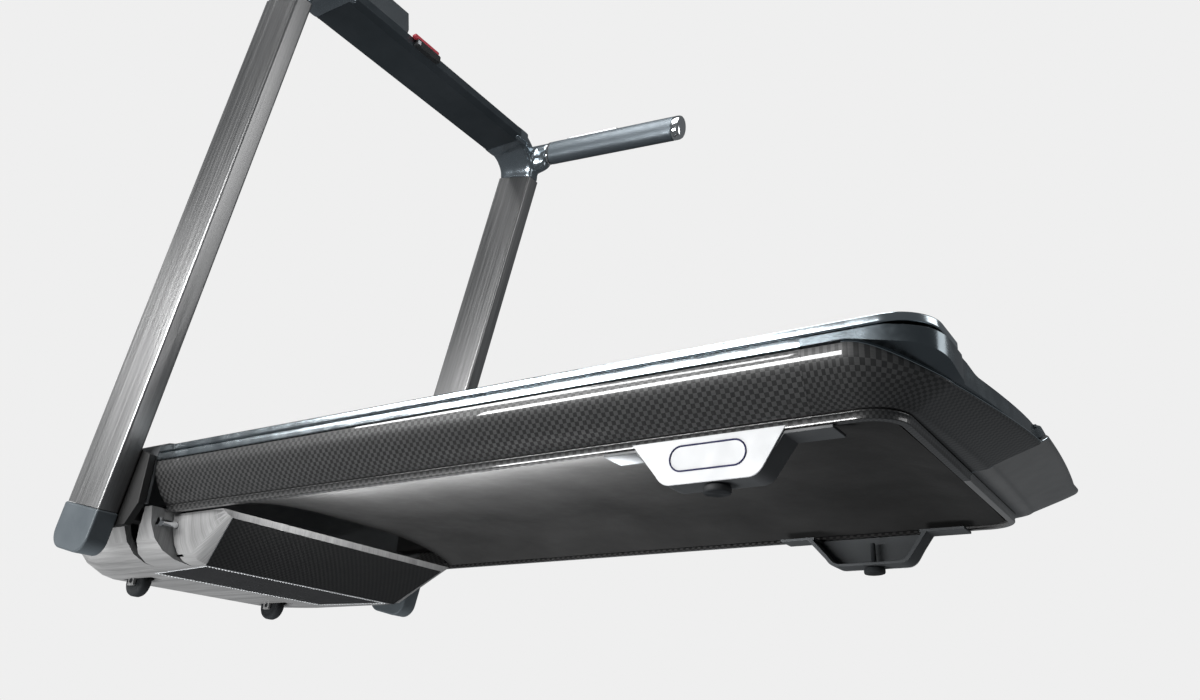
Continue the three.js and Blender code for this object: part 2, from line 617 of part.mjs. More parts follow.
// the fold axis seen in the leaning frame
function pivotInUpright() {
  const lean = THREE.MathUtils.degToRad(upright.lean);
  return {
    x: pivot.x * Math.cos(lean) - pivot.z * Math.sin(lean),
    z: pivot.x * Math.sin(lean) + pivot.z * Math.cos(lean),
  };
}

function beamSection() {
  const { x0, x1, z0, rearTop, frontTop } = beam;
  return outline([
    [x0 + 8, z0], [x1 - 12, z0], [x1, z0 + 9], [x1, rearTop - 3], [x1 - 4, rearTop],
    [x0 + 6, frontTop], [x0, frontTop - 8], [x0, z0 + 8],
  ]);
}

// hollow of the bar, deep enough below its top for the screen and the buttons
function beamHollow() {
  const { x0, x1, z0, rearTop, frontTop, wall, topWall } = beam;
  return outline([
    [x0 + wall, z0 + wall + 6], [x0 + wall + 6, z0 + wall],
    [x1 - wall - 10, z0 + wall], [x1 - wall, z0 + wall + 8],
    [x1 - wall, rearTop - topWall], [x0 + wall, frontTop - topWall],
  ]);
}

function consoleBar() {
  const slope = Math.atan2(beam.frontTop - beam.rearTop, beam.x1 - 4 - beam.x0 - 6);
  const topAt = (x) => beam.rearTop + Math.tan(slope) * (beam.x1 - 4 - x);
  const middle = (beam.x0 + beam.x1) / 2;
  const tilted = (geometry, y) => geometry.rotateY(slope).translate(middle, y, topAt(middle));
  const screenCut = tilted(box(-36, 34, -96, 96, -3, 10), 0);
  const solid = prismY(beamSection(), -beam.half, beam.half);
  const hollow = prismY(beamHollow(), -beam.half - 5, beam.half + 5);
  const buttons = [
    ['start_stop_button', 130, 'red'], ['speed_up_button', 170, 'black'], ['speed_down_button', 210, 'black'],
  ];
  const wells = buttons.map(([, y]) => tilted(turnedZ([[0, -7], [12.6, -7], [12.6, 10], [0, 10]], 0, 0), y));
  put('console_bar', cut(solid, hollow, screenCut, ...wells), 'console');
  put('display_panel', tilted(box(-35.6, 33.6, -95.6, 95.6, -2.6, -0.4), 0), 'screen');
  for (const [name, y, finish] of buttons) {
    put(name, tilted(turnedZ([[0, -4], [12, -4], [12, 1.8], [10.5, 2.8], [0, 2.8]], 0, 0), y), finish);
  }
  const lip = outline([[beam.x1 - 13, topAt(beam.x1 - 13) + 1], [beam.x1 - 5, topAt(beam.x1 - 5) + 1],
    [beam.x1 + 4, 1090], [beam.x1 - 1, 1092]]);
  const ends = cut(prismY(lip, -250, -112), endChamfer(-112));
  put('tablet_rest', ends, 'graphite');
  put('safety_key', join(box(beam.x1 + GAP, beam.x1 + 12, -96, -30, 1030, 1046),
    box(beam.x1 + GAP, beam.x1 + 9, -104, -34, 1046, 1055)), 'red');
}

// sloping end of the tablet rest
function endChamfer(y) {
  const shape = new THREE.Shape([new THREE.Vector2(y - 18, 1100), new THREE.Vector2(y + 10, 1040),
    new THREE.Vector2(y + 10, 1100)]);
  const geometry = new THREE.ExtrudeGeometry(shape, { depth: 60, bevelEnabled: false });
  const axes = new THREE.Matrix4().makeBasis(
    new THREE.Vector3(0, 1, 0), new THREE.Vector3(0, 0, 1), new THREE.Vector3(1, 0, 0));
  return geometry.applyMatrix4(axes).translate(beam.x1 - 30, 0, 0);
}

// section of the elbow at angle a of its bend, 0 = on top of the upright, 90 degrees = facing inwards
function elbowRing(a, side) {
  const share = a / (Math.PI / 2);
  const centreY = upright.outer - upright.thick - elbow.inside;
  const centreZ = beam.z0 - elbow.inside;
  const thick = upright.thick + (elbow.neckTop - beam.z0 - upright.thick) * share;
  const front = { foot: uprightTop(-upright.depth), x: beam.x0 };
  const rear = { foot: uprightTop(0), x: beam.x1 };
  return [[front, 0], [rear, 0], [rear, 1], [front, 1]].map(([edge, k]) => {
    const radius = elbow.inside + k * thick;
    const x = edge.foot.x + (edge.x - edge.foot.x) * share;
    const slant = (1 - share) * (edge.foot.z + GAP - centreZ);
    const y = side * (centreY + radius * Math.cos(a));
    return new THREE.Vector3(x, y, centreZ + radius * Math.sin(a) + slant);
  });
}

// where the upright's cut top is, u along the upright's depth, seen from the deck
function uprightTop(u) {
  const lean = THREE.MathUtils.degToRad(upright.lean);
  return {
    x: u * Math.cos(lean) + upright.top * Math.sin(lean),
    z: upright.top * Math.cos(lean) - u * Math.sin(lean),
  };
}

function elbowsAndGrips() {
  const tilt = THREE.MathUtils.degToRad(grip.slope);
  const oval = (y, z, length) => {
    const shape = new THREE.Shape();
    shape.absellipse(0, 0, z, y, 0, 2 * Math.PI);
    const pushed = { depth: length, bevelEnabled: false, curveSegments: 10 };
    const geometry = new THREE.ExtrudeGeometry(shape, pushed);
    return geometry.rotateY(Math.PI / 2);
  };
  const placed = (geometry, side, along) => geometry.translate(along, 0, 0).rotateY(tilt)
    .translate(grip.x, side * grip.y, grip.z);
  for (const [name, side] of SIDES) {
    const rings = [];
    for (let i = 0; i <= 6; i += 1) rings.push(elbowRing((i / 6) * Math.PI / 2, side));
    const along = (p) => new THREE.Vector2(p.x, p.y + p.z);
    const bend = loft(rings, along);
    const [y0, y1] = mirrored(side, beam.half + GAP, upright.outer - upright.thick - elbow.inside + 0.1);
    const neck = box(beam.x0, beam.x1, y0, y1, beam.z0, elbow.neckTop);
    const socket = placed(oval(grip.halfY - 1, grip.halfZ - 1, 80), side, -80 - GAP);
    put(`elbow_${name}`, join(bend, neck, socket), 'graphite');
    const body = placed(oval(grip.halfY, grip.halfZ, grip.length), side, 0);
    put(`grip_${name}`, body, 'graphite');
    const end = placed(oval(grip.halfY, grip.halfZ, grip.capLen), side, grip.length + GAP);
    put(`grip_cap_${name}`, end, 'chrome');
    const pad = box(48, 188, -9, 9, grip.halfZ + GAP, grip.halfZ + 4);
    put(`pulse_pad_${name}`, placed(pad, side, 0), 'steel');
  }
}

function powerSwitch() {
  const shape = outline([[-8, -5], [0, -5.5], [4, -5], [4, 5], [0, 5.5], [-8, 5]]);
  put('power_rocker', prismY(shape, 102, 120).translate(-266, 0, 91), 'red');
}

runningGear();
steelFrame();
motorDrive();
motorBay();
transportWheels();
footRails();
sideSkirts();
rearBumpers();
rearTrim();
bellyPan();
midFeet();
hinges();
uprights();
consoleBar();
elbowsAndGrips();
powerSwitch();

// ---------- stand it on the floor ----------
deck.rotation.y = nose;
whole.updateMatrixWorld(true);
const bounds = new THREE.Box3().setFromObject(whole, true);
const middle = bounds.getCenter(new THREE.Vector3());
whole.position.set(-middle.x, -middle.y, -bounds.min.z);

export default whole;
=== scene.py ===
"""Folding motor treadmill: the finished look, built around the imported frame.

Pieces are drawn in the deck's own frame (running surface level, x back towards the user, y to
the user's right), in metres, and then turned into the row's frame, where the deck stands nose-up.
"""

import json
import math

import bmesh
import bpy
from mathutils import Matrix, Vector


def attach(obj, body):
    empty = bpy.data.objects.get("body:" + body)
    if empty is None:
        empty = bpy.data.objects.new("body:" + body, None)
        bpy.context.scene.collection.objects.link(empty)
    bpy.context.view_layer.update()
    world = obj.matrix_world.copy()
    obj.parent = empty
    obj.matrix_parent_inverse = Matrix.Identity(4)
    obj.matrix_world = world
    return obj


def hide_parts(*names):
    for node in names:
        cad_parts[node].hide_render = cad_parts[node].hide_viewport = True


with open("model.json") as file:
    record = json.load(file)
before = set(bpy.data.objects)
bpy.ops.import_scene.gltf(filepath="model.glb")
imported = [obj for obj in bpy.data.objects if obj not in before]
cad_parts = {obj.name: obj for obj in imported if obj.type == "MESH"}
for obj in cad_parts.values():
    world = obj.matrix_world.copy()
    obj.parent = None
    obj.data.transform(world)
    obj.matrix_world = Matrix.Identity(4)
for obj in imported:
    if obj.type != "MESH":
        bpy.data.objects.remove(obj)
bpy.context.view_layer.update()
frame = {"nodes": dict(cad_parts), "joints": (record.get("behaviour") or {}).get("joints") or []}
JOINTS = {joint["name"]: joint for joint in frame["joints"]}
SIDES = (("left", -1), ("right", 1))


# ---------------------------------------------------------------- frames
# front roller's axis in the deck's frame, and how far the uprights lean towards the user
AXLE_X = 0.150
AXLE_Z = 0.127
LEAN_ANGLE = math.radians(12.95)


def deck_matrix():
    """Turns deck coordinates into the row's frame, from the two roller axes."""
    front = Vector(JOINTS["front_roller_spin"]["pos_m"])
    rear = Vector(JOINTS["rear_roller_spin"]["pos_m"])
    back = (rear - front).normalized()
    right = Vector((0, 1, 0))
    up = back.cross(right)
    turn = Matrix((back, right, up)).transposed().to_4x4()
    return Matrix.Translation(front - back * AXLE_X - up * AXLE_Z) @ turn


DECK = deck_matrix()
LEAN = DECK @ Matrix.Rotation(LEAN_ANGLE, 4, "Y")


# ---------------------------------------------------------------- materials
class Graph:
    """A material's node tree, with short calls for the nodes that the finishes share."""

    def __init__(self, name, roughness, metallic=0.0, coat=0.0, coat_roughness=0.05, anisotropic=0.0):
        self.material = bpy.data.materials.new(name)
        self.material.use_nodes = True
        self.tree = self.material.node_tree
        self.shader = self.tree.nodes["Principled BSDF"]
        self.shader.inputs["Roughness"].default_value = roughness
        self.shader.inputs["Metallic"].default_value = metallic
        self.shader.inputs["Coat Weight"].default_value = coat
        self.shader.inputs["Coat Roughness"].default_value = coat_roughness
        self.shader.inputs["Anisotropic"].default_value = anisotropic

    def node(self, kind, **values):
        made = self.tree.nodes.new(kind)
        for key, value in values.items():
            setattr(made, key, value)
        return made

    def link(self, output, target):
        self.tree.links.new(output, target)

    def coordinates(self, kind, scale):
        """Texture coordinates times a scale; kind is UV or Object."""
        source = self.node("ShaderNodeTexCoord")
        mapping = self.node("ShaderNodeMapping")
        mapping.inputs["Scale"].default_value = scale
        self.link(source.outputs[kind], mapping.inputs["Vector"])
        return mapping.outputs["Vector"]

    def noise(self, kind, scale, detail=3.0, rough=0.55):
        made = self.node("ShaderNodeTexNoise")
        made.inputs["Scale"].default_value = 1.0
        made.inputs["Detail"].default_value = detail
        made.inputs["Roughness"].default_value = rough
        self.link(self.coordinates(kind, scale), made.inputs["Vector"])
        return made.outputs["Fac"]

    def math(self, operation, a, b=0.0):
        made = self.node("ShaderNodeMath", operation=operation)
        for slot, value in ((0, a), (1, b)):
            if isinstance(value, (int, float)):
                made.inputs[slot].default_value = value
            else:
                self.link(value, made.inputs[slot])
        return made.outputs[0]

    def spread(self, value, low, high):
        """A 0 to 1 value laid out between low and high, from the middle of a noise."""
        made = self.node("ShaderNodeMapRange")
        made.inputs["From Min"].default_value = 0.3
        made.inputs["From Max"].default_value = 0.7
        made.inputs["To Min"].default_value = low
        made.inputs["To Max"].default_value = high
        self.link(value, made.inputs["Value"])
        return made.outputs["Result"]

    def blend(self, factor, a, b):
        """Colour a where the factor is 0 and b where it is 1; each is a colour or an output."""
        made = self.node("ShaderNodeMix", data_type="RGBA")
        self.link(factor, made.inputs["Factor"])
        for slot, value in (("A", a), ("B", b)):
            target = [s for s in made.inputs if s.name == slot and s.type == "RGBA"][0]
            if isinstance(value, tuple):
                target.default_value = (*value, 1)
            else:
                self.link(value, target)
        return [s for s in made.outputs if s.type == "RGBA"][0]

    def colour(self, output):
        self.link(output, self.shader.inputs["Base Color"])

    def roughness(self, output):
        self.link(output, self.shader.inputs["Roughness"])

    def bump(self, height, distance, strength=1.0):
        made = self.node("ShaderNodeBump")
        made.inputs["Strength"].default_value = strength
        made.inputs["Distance"].default_value = distance
        self.link(height, made.inputs["Height"])
        self.link(made.outputs["Normal"], self.shader.inputs["Normal"])

    def edge_wear_and_glint(self, base, light, amount=0.5):
        """Base colour with lighter edges, from how sharply the surface turns: rubbed wear and a painted edge
        highlight together.
        """
        turn = self.node("ShaderNodeNewGeometry").outputs["Pointiness"]
        edge = self.node("ShaderNodeMapRange")
        edge.inputs["From Min"].default_value = 0.53
        edge.inputs["From Max"].default_value = 0.62
        edge.inputs["To Max"].default_value = amount
        self.link(turn, edge.inputs["Value"])
        return self.blend(edge.outputs["Result"], base, light)


def grained(name, dark, light, roughness, metallic=0.0, grain=0.0006, depth=0.00008, coat=0.0, edge_wear_and_glint_amount=0.25,
            specular=0.5):
    """Moulded or painted surface: cloudy tone, fine grain in the bump, uneven gloss, lighter edges that are
    rubbed wear and a painted edge highlight together.
    """
    g = Graph(name, roughness, metallic, coat, 0.12)
    g.shader.inputs["Specular IOR Level"].default_value = specular
    cloud = g.noise("Object", (9, 9, 9))
    tone = g.blend(g.spread(cloud, 0, 1), dark, light)
    g.colour(g.edge_wear_and_glint(tone, tuple(min(1, 1.8 * c + 0.02) for c in light), edge_wear_and_glint_amount))
    fine = g.noise("Object", (1 / grain,) * 3, 2.0)
    g.roughness(g.spread(g.noise("Object", (40, 40, 40)), roughness - 0.05, roughness + 0.07))
    g.bump(fine, depth)
    return g.material


def brushed(name, dark, light, roughness, across=2600, along=12, metallic=1.0, depth=0.00002):
    """Surface with streaks along v of its UVs, metal unless told otherwise."""
    g = Graph(name, roughness, metallic, anisotropic=0.4)
    streak = g.noise("UV", (across, along, 1), 2.0)
    wide = g.noise("UV", (across / 14, along / 6, 1), 2.0)
    both = g.math("ADD", g.math("MULTIPLY", streak, 0.5), g.math("MULTIPLY", wide, 0.5))
    # lighter sharp edges: rubbed wear and a painted edge highlight together
    g.colour(g.edge_wear_and_glint(g.blend(g.spread(both, 0, 1), dark, light), tuple(min(1, c * 1.25) for c in light), 0.4))
    g.roughness(g.spread(both, roughness - 0.08, roughness + 0.10))
    g.bump(streak, depth)
    return g.material


def carbon_weave(name, square, dark, light, coat, base_roughness=0.42):
    """Plain weave: squares of fibre that run along u and along v by turns, under a clear coat; the squares
    are painted darker and lighter by turns, with lighter patches, as a painted sheen.
    """
    g = Graph(name, base_roughness, 0.35, coat, 0.02)
    checker = g.node("ShaderNodeTexChecker")
    checker.inputs["Scale"].default_value = 1.0
    g.link(g.coordinates("UV", (1 / square, 1 / square, 1)), checker.inputs["Vector"])
    turn = checker.outputs["Fac"]
    along_u = g.noise("UV", (0.35 / square, 26 / square, 1), 2.0)
    along_v = g.noise("UV", (26 / square, 0.35 / square, 1), 2.0)
    fibre = g.node("ShaderNodeMix", data_type="FLOAT")
    g.link(turn, fibre.inputs["Factor"])
    g.link(along_u, fibre.inputs[2])
    g.link(along_v, fibre.inputs[3])
    patch = g.noise("UV", (0.22 / square, 0.22 / square, 1), 1.0)
    # dark squares and light squares by turns are a painted sheen of the weave; the noise patches lift the
    # light squares further as painted sheen
    half = tuple(a + 0.45 * (b - a) for a, b in zip(dark, light))
    dim_sheen_squares = g.blend(g.spread(fibre.outputs[0], 0, 1), dark, half)
    lit_sheen_squares = g.blend(g.spread(fibre.outputs[0], 0, 1), half, light)
    sheen_patched_squares = g.blend(g.spread(patch, 0, 0.5), lit_sheen_squares, light)
    g.colour(g.blend(turn, dim_sheen_squares, sheen_patched_squares))
    g.bump(fibre.outputs[0], 0.0001, 0.5)
    g.roughness(g.spread(fibre.outputs[0], base_roughness - 0.1, base_roughness + 0.12))
    return g.material


def ribbed(name, dark, light, roughness, pitch, angle, depth, metallic=0.3):
    """Skin with fine slanting ribs, as on the grips; angle from the UVs' v axis. The colour follows the ribs'
    height: painted shade in the grooves and a painted highlight on the crests.
    """
    g = Graph(name, roughness, metallic)
    source = g.node("ShaderNodeTexCoord")
    mapping = g.node("ShaderNodeMapping")
    mapping.inputs["Rotation"].default_value = (0, 0, math.radians(angle))
    mapping.inputs["Scale"].default_value = (1 / pitch, 1 / pitch, 1)
    g.link(source.outputs["UV"], mapping.inputs["Vector"])
    wave = g.node("ShaderNodeTexWave", wave_profile="SIN")
    wave.inputs["Scale"].default_value = 0.3183
    wave.inputs["Distortion"].default_value = 0.4
    g.link(mapping.outputs["Vector"], wave.inputs["Vector"])
    # ribs darker in the grooves and lighter on the crests: painted shade and painted highlight; lighter edges
    # are rubbed wear and a painted edge highlight
    g.colour(g.edge_wear_and_glint(g.blend(wave.outputs["Fac"], dark, light), light, 0.3))
    g.roughness(g.spread(g.noise("Object", (60, 60, 60)), roughness - 0.06, roughness + 0.08))
    g.bump(wave.outputs["Fac"], depth)
    return g.material


def open_mesh(name, hole, dark, light):
    """Black sheet with rows of round holes drawn in the colour: the holes are painted darkest as painted
    shade, and sunk in the bump.
    """
    g = Graph(name, 0.55)
    cells = g.node("ShaderNodeTexVoronoi")
    cells.inputs["Scale"].default_value = 1.0
    cells.inputs["Randomness"].default_value = 0.0
    g.link(g.coordinates("UV", (1 / hole, 1 / hole, 1)), cells.inputs["Vector"])
    bar = g.math("GREATER_THAN", cells.outputs["Distance"], 0.36)
    dust = g.noise("Object", (30, 30, 30))
    tone = g.blend(g.spread(dust, 0, 1), light, tuple(1.3 * c for c in light))
    # holes get the darkest colour: painted shade in the openings
    g.colour(g.blend(bar, dark, tone))
    g.bump(bar, 0.0006)
    return g.material


def grey(level):
    """Equal red, green and blue."""
    return (level, level, level)


MATERIALS = {
    "carbon": carbon_weave("carbon_weave", 0.0056, grey(0.003), grey(0.070), 0.9),
    "carbon_fine": carbon_weave("carbon_weave_fine", 0.0042, grey(0.003), grey(0.062), 0.8),
    "carbon_small": carbon_weave("carbon_weave_dim", 0.0050, grey(0.002), grey(0.018), 0.35),
    "upright": brushed("brushed_upright", (0.17, 0.17, 0.172), grey(0.33), 0.34),
    "tray": brushed("brushed_tray", grey(0.17), grey(0.40), 0.40, 900, 14, 0.35),
    "silver": grained("satin_silver", (0.36, 0.41, 0.44), (0.46, 0.51, 0.54), 0.20, 1.0, 0.0008, 0.00001),
    "slate": grained("trim_slate", (0.11, 0.13, 0.145), (0.16, 0.185, 0.20), 0.22, 1.0, 0.0008, 0.00001),
    "chrome": grained("bright_chrome", (0.80, 0.81, 0.83), (0.88, 0.89, 0.90), 0.09, 1.0, 0.002, 0.000004),
    "steel": brushed("turned_steel", (0.34, 0.35, 0.36), (0.50, 0.51, 0.52), 0.35, 1500, 30),
    "cap": grained("graphite_plastic", (0.075, 0.088, 0.098), (0.095, 0.110, 0.120), 0.42, 0.25),
    "hood": grained("hood_plastic", (0.045, 0.048, 0.050), (0.060, 0.063, 0.066), 0.45, 0.0, 0.0009),
    "beam": grained("console_metal", (0.060, 0.074, 0.084), (0.085, 0.100, 0.112), 0.36, 0.75, 0.0012,
                    0.00002),
    "elbow": grained("gloss_graphite", (0.22, 0.26, 0.29), (0.28, 0.32, 0.35), 0.17, 0.85, 0.0012, 0.00001,
                     0.6),
    "grip": ribbed("grip_skin", (0.085, 0.105, 0.120), (0.150, 0.175, 0.195), 0.36, 0.0014, 38, 0.00006, 0.5),
    "black": grained("black_paint", grey(0.003), grey(0.006), 0.60),
    "belly": grained("belly_plastic", grey(0.018), grey(0.026), 0.65, 0.0, 0.0010, 0.00003, specular=0.06),
    "plain": grained("satin_grey", grey(0.15), grey(0.20), 0.34, 0.35, 0.0009, 0.00010, 0.5),
    "plate": grained("badge_plastic", (0.50, 0.51, 0.52), (0.57, 0.58, 0.59), 0.40, 0.0, 0.0010, 0.00002),
    "navy": grained("badge_ring", (0.008, 0.008, 0.045), (0.014, 0.014, 0.070), 0.35),
    "rubber": grained("black_rubber", (0.010, 0.011, 0.012), (0.022, 0.024, 0.026), 0.62, 0.0, 0.0007,
                      0.00012),
    "belt": grained("belt_pvc", (0.012, 0.012, 0.013), (0.024, 0.024, 0.026), 0.72, 0.0, 0.0016, 0.0003),
    "wood": brushed("deck_board", (0.10, 0.060, 0.035), (0.20, 0.125, 0.075), 0.6, 400, 8, 0.0),
    "red": grained("key_red", (0.46, 0.05, 0.07), (0.60, 0.08, 0.10), 0.40),
    "screen": grained("screen_black", (0.004, 0.005, 0.006), (0.006, 0.007, 0.008), 0.12, 0.0, 0.01, 0.0,
                      1.0),
    "mark": grained("pale_print", (0.50, 0.52, 0.54), (0.62, 0.64, 0.66), 0.5),
    "cover": grained("motor_paint", (0.020, 0.020, 0.022), (0.035, 0.035, 0.038), 0.38, 0.2),
    "aluminium": brushed("plain_aluminium", (0.42, 0.43, 0.44), (0.60, 0.61, 0.62), 0.38, 900, 20),
    "mesh": open_mesh("vent_mesh_black", 0.0040, grey(0.002), (0.020, 0.020, 0.021)),
}


# ---------------------------------------------------------------- mesh helpers
def box_uv(bm):
    """Lays UVs over each face along the two axes that it faces least, in metres."""
    layer = bm.loops.layers.uv.verify()
    for face in bm.faces:
        n = face.normal
        lead = max(range(3), key=lambda k: abs(n[k]))
        u, v = {0: (1, 2), 1: (0, 2), 2: (1, 0)}[lead]
        for loop in face.loops:
            loop[layer].uv = (loop.vert.co[u], loop.vert.co[v])


def finish_piece(name, bm, finish, body, replaces=(), place=DECK, uv=True, bevel=0.0, segments=3,
                 sharp=32):
    """Bevels, smooths, places and rides a piece, and puts its material on."""
    bmesh.ops.recalc_face_normals(bm, faces=bm.faces[:])
    if bevel:
        limit = math.radians(28)
        edges = [e for e in bm.edges if len(e.link_faces) == 2 and e.calc_face_angle(0) > limit]
        bmesh.ops.bevel(bm, geom=edges, offset=bevel, segments=segments, profile=0.5, affect="EDGES",
                        clamp_overlap=True)
    if uv:
        box_uv(bm)
    for face in bm.faces:
        face.smooth = True
    for edge in bm.edges:
        edge.smooth = len(edge.link_faces) == 2 and edge.calc_face_angle(0) < math.radians(sharp)
    mesh = bpy.data.meshes.new(name)
    bm.to_mesh(mesh)
    bm.free()
    mesh.transform(place)
    piece = bpy.data.objects.new(name, mesh)
    bpy.context.collection.objects.link(piece)
    mesh.materials.append(MATERIALS[finish])
    if bevel:
        weights = piece.modifiers.new("weights", "WEIGHTED_NORMAL")
        weights.keep_sharp = True
    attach(piece, body)
    if replaces:
        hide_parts(*([replaces] if isinstance(replaces, str) else replaces))
    return piece


def refine(node, finish, body="deck", bevel=0.0012):
    """The CAD node's own shape with rounded edges and a finish, in place of the plain one."""
    bm = bmesh.new()
    bm.from_mesh(frame["nodes"][node].data)
    bmesh.ops.transform(bm, matrix=DECK.inverted(), verts=bm.verts[:])
    bmesh.ops.remove_doubles(bm, verts=bm.verts[:], dist=0.00002)
    bmesh.ops.dissolve_limit(bm, angle_limit=math.radians(1), verts=bm.verts[:], edges=bm.edges[:])
    return finish_piece(f"{node}_fine", bm, finish, body, node, bevel=bevel, segments=2)


def skin(rings, caps=True):
    """Surface through closed rings of points; UVs run round a ring (u) and along the path (v), in metres."""
    bm = bmesh.new()
    layer = bm.loops.layers.uv.verify()
    rows = [[bm.verts.new(p) for p in ring] for ring in rings]
    count = len(rings[0])
    along = [0.0]
    for a, b in zip(rings, rings[1:]):
        along.append(along[-1] + sum((Vector(p) - Vector(q)).length for p, q in zip(a, b)) / count)
    middle = rings[len(rings) // 2]
    around = [0.0]
    for j in range(count):
        around.append(around[-1] + (Vector(middle[(j + 1) % count]) - Vector(middle[j])).length)
    for i in range(len(rings) - 1):
        for j in range(count):
            k = (j + 1) % count
            face = bm.faces.new((rows[i][j], rows[i][k], rows[i + 1][k], rows[i + 1][j]))
            corners = ((around[j], along[i]), (around[j + 1], along[i]),
                       (around[j + 1], along[i + 1]), (around[j], along[i + 1]))
            for loop, corner in zip(face.loops, corners):
                loop[layer].uv = corner
    if caps:
        for row in (rows[0], rows[-1]):
            face = bm.faces.new(row)
            for loop in face.loops:
                loop[layer].uv = (loop.vert.co.y, loop.vert.co.z)
    return bm


def prism(points, axis, low, high):
    """Flat outline pushed along an axis; points are (x, z) for y, (x, y) for z and (y, z) for x."""
    place = {"x": lambda a, b, t: (t, a, b),
             "y": lambda a, b, t: (a, t, b),
             "z": lambda a, b, t: (a, b, t)}[axis]
    return skin([[place(a, b, t) for a, b in points] for t in (low, high)])


def merge(*parts):
    """Several meshes as one."""
    whole = bmesh.new()
    whole.loops.layers.uv.verify()
    for part in parts:
        mesh = bpy.data.meshes.new("part")
        part.to_mesh(mesh)
        part.free()
        whole.from_mesh(mesh)
        bpy.data.meshes.remove(mesh)
    return whole


def rounded(x0, x1, y0, y1, radius, steps=5):
    """Corner points of a rectangle with rounded corners."""
    points = []
    for cx, cy, start in ((x1 - radius, y0 + radius, -90), (x1 - radius, y1 - radius, 0),
                          (x0 + radius, y1 - radius, 90), (x0 + radius, y0 + radius, 180)):
        for i in range(steps + 1):
            a = math.radians(start + 90 * i / steps)
            points.append((cx + radius * math.cos(a), cy + radius * math.sin(a)))
    return points


def turned(profile, axis, centre, segments=48, caps=True):
    """Round piece; profile is a list of (radius, height) along the axis through centre."""
    rings = []
    for radius, height in profile:
        ring = []
        for k in range(segments):
            a = 2 * math.pi * k / segments
            c, s = max(radius, 1e-5) * math.cos(a), max(radius, 1e-5) * math.sin(a)
            offset = {"y": (c, height, s), "z": (c, s, height), "x": (height, c, s)}[axis]
            ring.append(tuple(centre[m] + offset[m] for m in range(3)))
        rings.append(ring)
    return skin(rings, caps)


def smooth_line(points, steps=5):
    """Catmull-Rom curve through 2-D points."""
    out = []
    for i in range(len(points) - 1):
        p0 = points[max(i - 1, 0)]
        p1, p2 = points[i], points[i + 1]
        p3 = points[min(i + 2, len(points) - 1)]
        for k in range(steps):
            t = k / steps
            out.append(tuple(0.5 * (2 * b + (c - a) * t + (2 * a - 5 * b + 4 * c - d) * t * t
                                    + (3 * b - a - 3 * c + d) * t ** 3)
                             for a, b, c, d in zip(p0, p1, p2, p3)))
    out.append(points[-1])
    return out


def rod(path, radius, segments=8):
    """Round bar along a path of points."""
    rings = []
    for i, point in enumerate(path):
        before = Vector(path[max(i - 1, 0)])
        after = Vector(path[min(i + 1, len(path) - 1)])
        ahead = (after - before).normalized()
        up = Vector((0, 0, 1)) if abs(ahead.z) < 0.9 else Vector((0, 1, 0))
        across = ahead.cross(up).normalized()
        lift = across.cross(ahead)
        rings.append([tuple(Vector(point) + radius * (across * math.cos(a) + lift * math.sin(a)))
                      for a in (2 * math.pi * k / segments for k in range(segments))])
    return skin(rings)


def bead(centre, radius, drop):
    """Small dome that hangs below its centre, used for stitches."""
    angles = (0, math.pi / 6, math.pi / 3, math.pi / 2.05)
    return turned([(radius * math.cos(a), -drop * math.sin(a)) for a in angles], "z", centre, 10)


# ---------------------------------------------------------------- shell of the deck
LIP_Y = 0.267
LIP_Z = 0.058
TOP_Z = 0.1325
RAIL_LOW = 0.1440
RAIL_TOP = 0.155
RAIL_INNER = 0.205
RAIL_END = 1.288
SKIRT_FRONT = 0.056
SKIRT_END = 1.150
REAR_LIP = 1.231
CORNER = 0.034
SIDE_Y = 0.311
SHELF_Z = 0.120
# each half of the rear: its middle, how far it bows forward, how square its corner is, how far its top drops
HALVES = {
    "left": {"middle": 1.326, "bow": 0.038, "power": 1.35, "square": 1.75, "drop": 0.035},
    "right": {"middle": 1.335, "bow": 0.0114, "power": 2.0, "square": 5.0, "drop": 0.028},
}


class Station:
    """A place along the lip, the outward direction there, and where the shell's top edge stands."""

    def __init__(self, x, y, nx, ny, reach, top, trim_reach, trim_top):
        self.x, self.y, self.nx, self.ny = x, y, nx, ny
        self.reach, self.top = reach, top
        self.trim_reach, self.trim_top = trim_reach, trim_top

    def ring(self, section):
        return [(self.x + u * self.nx, self.y + u * self.ny, z) for u, z in section]


def side_stations(side, start, end, steps):
    """Stations along the straight side of the deck."""
    reach = SIDE_Y - LIP_Y
    return [Station(start + (end - start) * i / steps, side * LIP_Y, 0.0, side, reach, TOP_Z, reach + 0.002,
                    RAIL_LOW) for i in range(steps + 1)]


def superellipse(sin, cos, a, b, power):
    """Distance from the centre to the edge, in the direction of sin and cos."""
    return ((sin / a) ** power + (cos / b) ** power) ** (-1 / power)


